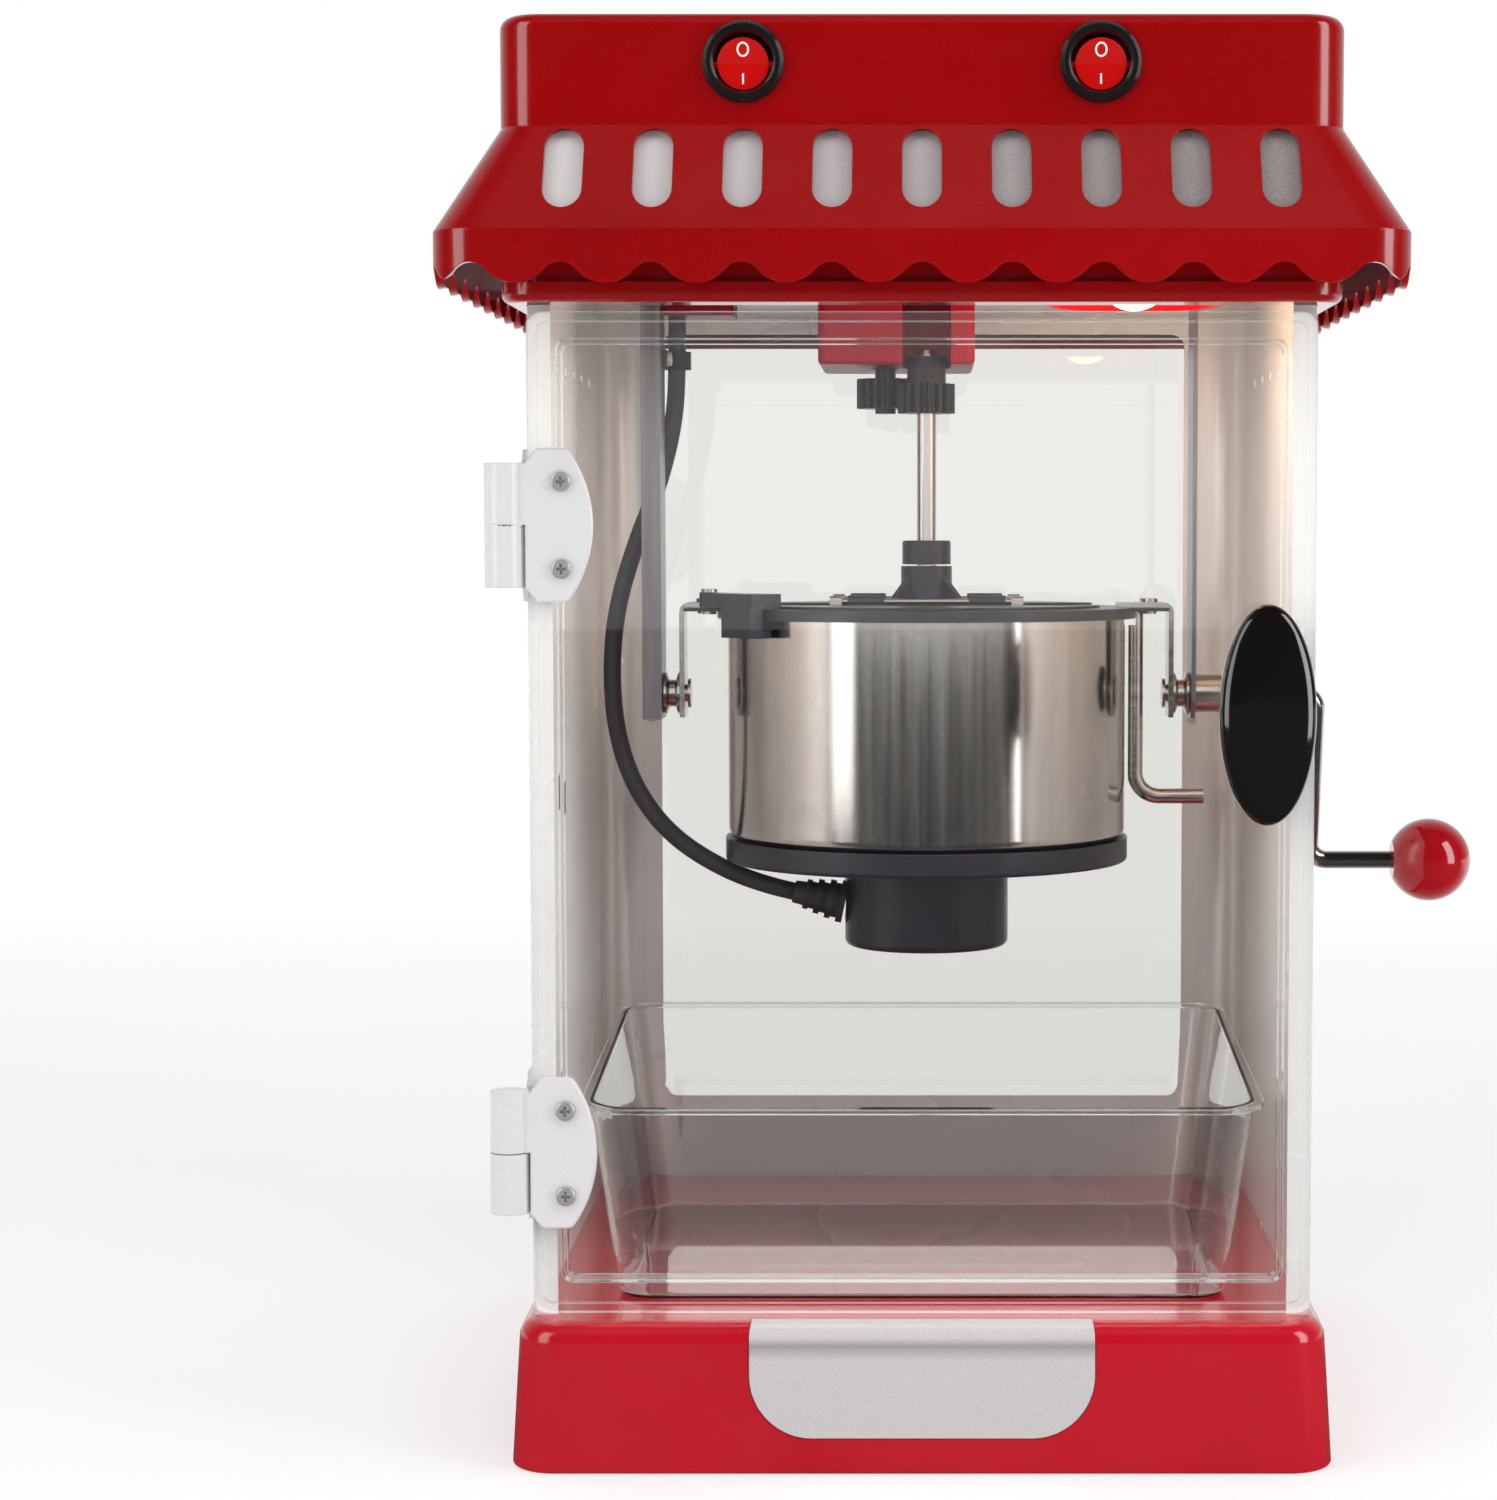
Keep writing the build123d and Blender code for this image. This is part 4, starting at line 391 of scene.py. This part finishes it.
# ------------------------------------------------------------------ kettle lead
LEAD = [(-83.5, 30.0, 357.0), (-83.5, 30.0, 342.0), (-84.5, 31.0, 322.0), (-90.0, 31.5, 300.0),
        (-98.5, 28.0, 278.5), (-104.5, 24.5, 257.0), (-106.0, 21.5, 236.0), (-104.0, 18.5, 215.0),
        (-97.5, 16.0, 196.5), (-85.5, 14.2, 181.0), (-68.5, 13.2, 170.0), (-52.0, 13.0, 163.8), (-43.5, 13.0, 162.0)]
cu = bpy.data.curves.new("lead_line", "CURVE")
cu.dimensions = "3D"
sp = cu.splines.new("NURBS")
sp.points.add(len(LEAD) - 1)
for p, q in zip(sp.points, LEAD):
    p.co = (q[0] / 1000, q[1] / 1000, q[2] / 1000, 1)
sp.order_u = 3
sp.use_endpoint_u = True
sp.resolution_u = 12
line = bpy.data.objects.new("lead_line", cu)
scene.collection.objects.link(line)
bpy.context.view_layer.update()
me = bpy.data.meshes.new_from_object(line.evaluated_get(bpy.context.evaluated_depsgraph_get()))
path = [v.co.copy() for v in me.vertices]
bpy.data.objects.remove(line)
lead = tube_mesh("kettle_lead_cable", path, 0.003, sides=24)
lead.data.materials.append(RUBBER.m)
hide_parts("kettle_lead")
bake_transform(lead)

# ------------------------------------------------------------------ door knob: a domed oval
lo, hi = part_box("door_handle")
cx, cz = (lo.x + hi.x) / 2, (lo.z + hi.z) / 2
ax, az = (hi.x - lo.x) / 2, (hi.z - lo.z) / 2
y0, y1 = hi.y, lo.y
prof = [(0.0, 0.0), (0.56, 0.0), (0.56, -0.0062), (0.93, -0.0064), (0.975, -0.0068), (1.0, -0.0080), (1.0, -0.0088), (0.985, -0.0100), (0.95, -0.0109),
        (0.90, -0.0115), (0.80, -0.01225), (0.66, -0.01285), (0.48, -0.01320), (0.25, -0.01343), (0.10, -0.01349)]
SEG = 96
verts, faces = [], []
for t, dy in prof[1:]:
    for k in range(SEG):
        a = 2 * math.pi * k / SEG
        verts.append((cx + ax * t * math.cos(a), y0 + dy, cz + az * t * math.sin(a)))
rows = len(prof) - 1
for i in range(rows - 1):
    for k in range(SEG):
        faces.append((i * SEG + k, i * SEG + (k + 1) % SEG, (i + 1) * SEG + (k + 1) % SEG, (i + 1) * SEG + k))
verts.append((cx, y0, cz))
verts.append((cx, y0 - 0.0135, cz))
for k in range(SEG):
    faces.append((len(verts) - 2, (k + 1) % SEG, k))
    faces.append((len(verts) - 1, (rows - 1) * SEG + k, (rows - 1) * SEG + (k + 1) % SEG))
knob = mesh_obj("door_knob_dome", verts, faces)
knob.data.materials.append(BLACKG.m)
with bpy.context.temp_override(active_object=knob, selected_objects=[knob], selected_editable_objects=[knob], object=knob):
    bpy.ops.object.shade_smooth_by_angle(angle=math.radians(50))
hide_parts("door_handle")
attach(knob, "door")

# ------------------------------------------------------------------ O and I marks on the rockers
TILT = math.radians(6.0)
for side in ("left", "right"):
    lo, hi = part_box("rocker_" + side)
    sx = (lo.x + hi.x) / 2
    piv = Vector((sx, -0.1136, 0.4205))
    turn = Matrix.Rotation(TILT, 3, "X")

    def on_face(dx, dz, lift):
        """A point on the rocker's two-plane face, dz above its middle, raised by lift."""
        y = -0.1200 - abs(dz) * (0.0009 / 0.0082) + 0.1136 - lift
        return piv + turn @ Vector((dx, y, dz))

    ring = [on_face(0.00155 * math.cos(2 * math.pi * k / 40), 0.0041 + 0.0019 * math.sin(2 * math.pi * k / 40), 0.00002) for k in range(40)]
    o_mark = tube_mesh("mark_off_" + side, ring, 0.00028, sides=10, closed=True)
    bar = [on_face(0, -0.0028 - 0.0030 * k / 12, 0.00002) for k in range(13)]
    i_mark = tube_mesh("mark_on_" + side, bar, 0.00028, sides=10)
    for o in (o_mark, i_mark):
        o.data.materials.append(MARK.m)
        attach(o, "rocker_" + side)

# ------------------------------------------------------------------ floor, light, world
FL = Mat("floor_pale")
fsep = FL.new("SeparateXYZ")
FL.link(FL.tc.outputs["Object"], fsep.inputs[0])
away = FL.remap(fsep.outputs["Y"], 0.0, 1.0, 0.35, 1.3)      # 1 well behind the object
side = FL.new("Math", operation="ABSOLUTE")
FL.link(fsep.outputs["X"], side.inputs[0])
beside = FL.remap(side.outputs[0], 0.0, 1.0, 0.35, 1.2)
far = FL.new("Math", operation="MAXIMUM")
FL.link(away, far.inputs[0])
FL.link(beside, far.inputs[1])
pale = FL.mix(FL.remap(FL.noise(3.0, 4.0), 0, 1), (0.50, 0.50, 0.505), (0.54, 0.54, 0.54))
FL.color(FL.mix(far.outputs[0], pale, (0.02, 0.02, 0.02)))
FL.rough(FL.remap(FL.noise(12.0, 5.0), 0.55, 0.7))
FL.bump(FL.noise(400.0, 3.0), 0.1, 0.0001)
FL.link(FL.remap(far.outputs[0], 0.50, 0.99, 0.0, 1.0), FL.p.inputs["Emission Strength"])
FL.set(Emission_Color=(1, 1, 1, 1), Specular_IOR_Level=0.0)
dim = FL.new("Emission")
dim.inputs["Color"].default_value = (0.9, 0.9, 0.9, 1)
dim.inputs["Strength"].default_value = 0.07
flp = FL.new("LightPath")
mirrored = FL.new("Math", operation="MINIMUM")      # 1 once the light path has been mirrored by a shiny face
FL.link(flp.outputs["Glossy Depth"], mirrored.inputs[0])
mirrored.inputs[1].default_value = 1.0
ahead = FL.remap(fsep.outputs["Y"], 1.0, 0.0, 0.0, 0.35)
gate = FL.new("Math", operation="MULTIPLY")         # mirrored in the object's front: a darker room
FL.link(mirrored.outputs[0], gate.inputs[0])
FL.link(ahead, gate.inputs[1])
fmx = FL.new("MixShader")
FL.link(gate.outputs[0], fmx.inputs[0])
FL.link(FL.p.outputs[0], fmx.inputs[1])
FL.link(dim.outputs[0], fmx.inputs[2])
FL.link(fmx.outputs[0], FL.out.inputs["Surface"])
bm = bmesh.new()
bmesh.ops.create_grid(bm, x_segments=24, y_segments=24, size=9.0)
fme = bpy.data.meshes.new("floor")
bm.to_mesh(fme)
bm.free()
floor = link_obj("floor", fme)
floor.data.materials.append(FL.m)


def area(name, loc, target, size, size_y, power, color=(1, 1, 1)):
    d = bpy.data.lights.new(name, "AREA")
    d.shape = "RECTANGLE"
    d.size, d.size_y, d.energy, d.color = size, size_y, power, color
    o = bpy.data.objects.new(name, d)
    o.location = loc
    o.rotation_mode = "QUATERNION"
    o.rotation_quaternion = (Vector(target) - Vector(loc)).to_track_quat("-Z", "Y")
    scene.collection.objects.link(o)
    return o


area("key_left", (-1.25, -0.95, 0.75), (0, 0, 0.24), 0.7, 1.5, 8.5)
area("fill_right", (1.3, -0.75, 0.7), (0, 0, 0.24), 0.55, 1.5, 10.5)
top = area("top_soft", (0.0, -0.75, 1.5), (0, 0, 0.2), 1.1, 0.8, 6)
top.visible_glossy = False
inside = area("cabinet_soft", (0.0, -0.090, 0.345), (0, 0.06, 0.10), 0.19, 0.03, 0.14, (1.0, 0.97, 0.93))
inside.visible_camera = inside.visible_glossy = inside.visible_transmission = False
lamp = bpy.data.lights.new("lamp_glow", "POINT")
lamp.energy, lamp.color, lamp.shadow_soft_size = 0.16, (1.0, 0.62, 0.32), 0.012
lo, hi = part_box("lamp_bulb")
lamp_o = bpy.data.objects.new("lamp_glow", lamp)
lamp_o.location = ((lo.x + hi.x) / 2, (lo.y + hi.y) / 2, lo.z - 0.014)
lamp_o.visible_camera = lamp_o.visible_glossy = lamp_o.visible_transmission = False
scene.collection.objects.link(lamp_o)

world = bpy.data.worlds.new("studio")
scene.world = world
world.use_nodes = True
wt = world.node_tree
wt.nodes.clear()
wout = wt.nodes.new("ShaderNodeOutputWorld")
tc = wt.nodes.new("ShaderNodeTexCoord")
sep = wt.nodes.new("ShaderNodeSeparateXYZ")
wt.links.new(tc.outputs["Generated"], sep.inputs[0])
ramp = wt.nodes.new("ShaderNodeMapRange")      # dim in front, bright behind
ramp.inputs["From Min"].default_value, ramp.inputs["From Max"].default_value = -0.7, 0.5
ramp.inputs["To Min"].default_value, ramp.inputs["To Max"].default_value = 0.12, 0.85
wt.links.new(sep.outputs["Y"], ramp.inputs["Value"])
bg1 = wt.nodes.new("ShaderNodeBackground")
wt.links.new(ramp.outputs["Result"], bg1.inputs["Strength"])
bg2 = wt.nodes.new("ShaderNodeBackground")
tramp = wt.nodes.new("ShaderNodeMapRange")
tramp.inputs["From Min"].default_value, tramp.inputs["From Max"].default_value = -0.3, 0.6
tramp.inputs["To Min"].default_value, tramp.inputs["To Max"].default_value = 1.25, 1.0
wt.links.new(sep.outputs["Y"], tramp.inputs["Value"])
wt.links.new(tramp.outputs["Result"], bg2.inputs["Strength"])
bg1.inputs["Color"].default_value = (1, 1, 1, 1)
bg2.inputs["Color"].default_value = (1, 1, 1, 1)
lp = wt.nodes.new("ShaderNodeLightPath")
mx = wt.nodes.new("ShaderNodeMath")
mx.operation = "MAXIMUM"
wt.links.new(lp.outputs["Is Camera Ray"], mx.inputs[0])
wt.links.new(lp.outputs["Is Transmission Ray"], mx.inputs[1])
gramp = wt.nodes.new("ShaderNodeMapRange")     # what shiny faces mirror: a dark room with a bright wall behind
gramp.inputs["From Min"].default_value, gramp.inputs["From Max"].default_value = 0.1, 0.95
gramp.inputs["To Min"].default_value, gramp.inputs["To Max"].default_value = 0.015, 0.7
wt.links.new(sep.outputs["Y"], gramp.inputs["Value"])
bg3 = wt.nodes.new("ShaderNodeBackground")
bg3.inputs["Color"].default_value = (1, 1, 1, 1)
wt.links.new(gramp.outputs["Result"], bg3.inputs["Strength"])
gmix = wt.nodes.new("ShaderNodeMixShader")
wt.links.new(lp.outputs["Is Glossy Ray"], gmix.inputs[0])
wt.links.new(bg1.outputs[0], gmix.inputs[1])
wt.links.new(bg3.outputs[0], gmix.inputs[2])
wmix = wt.nodes.new("ShaderNodeMixShader")
wt.links.new(mx.outputs[0], wmix.inputs[0])
wt.links.new(gmix.outputs[0], wmix.inputs[1])
wt.links.new(bg2.outputs[0], wmix.inputs[2])
wt.links.new(wmix.outputs[0], wout.inputs["Surface"])
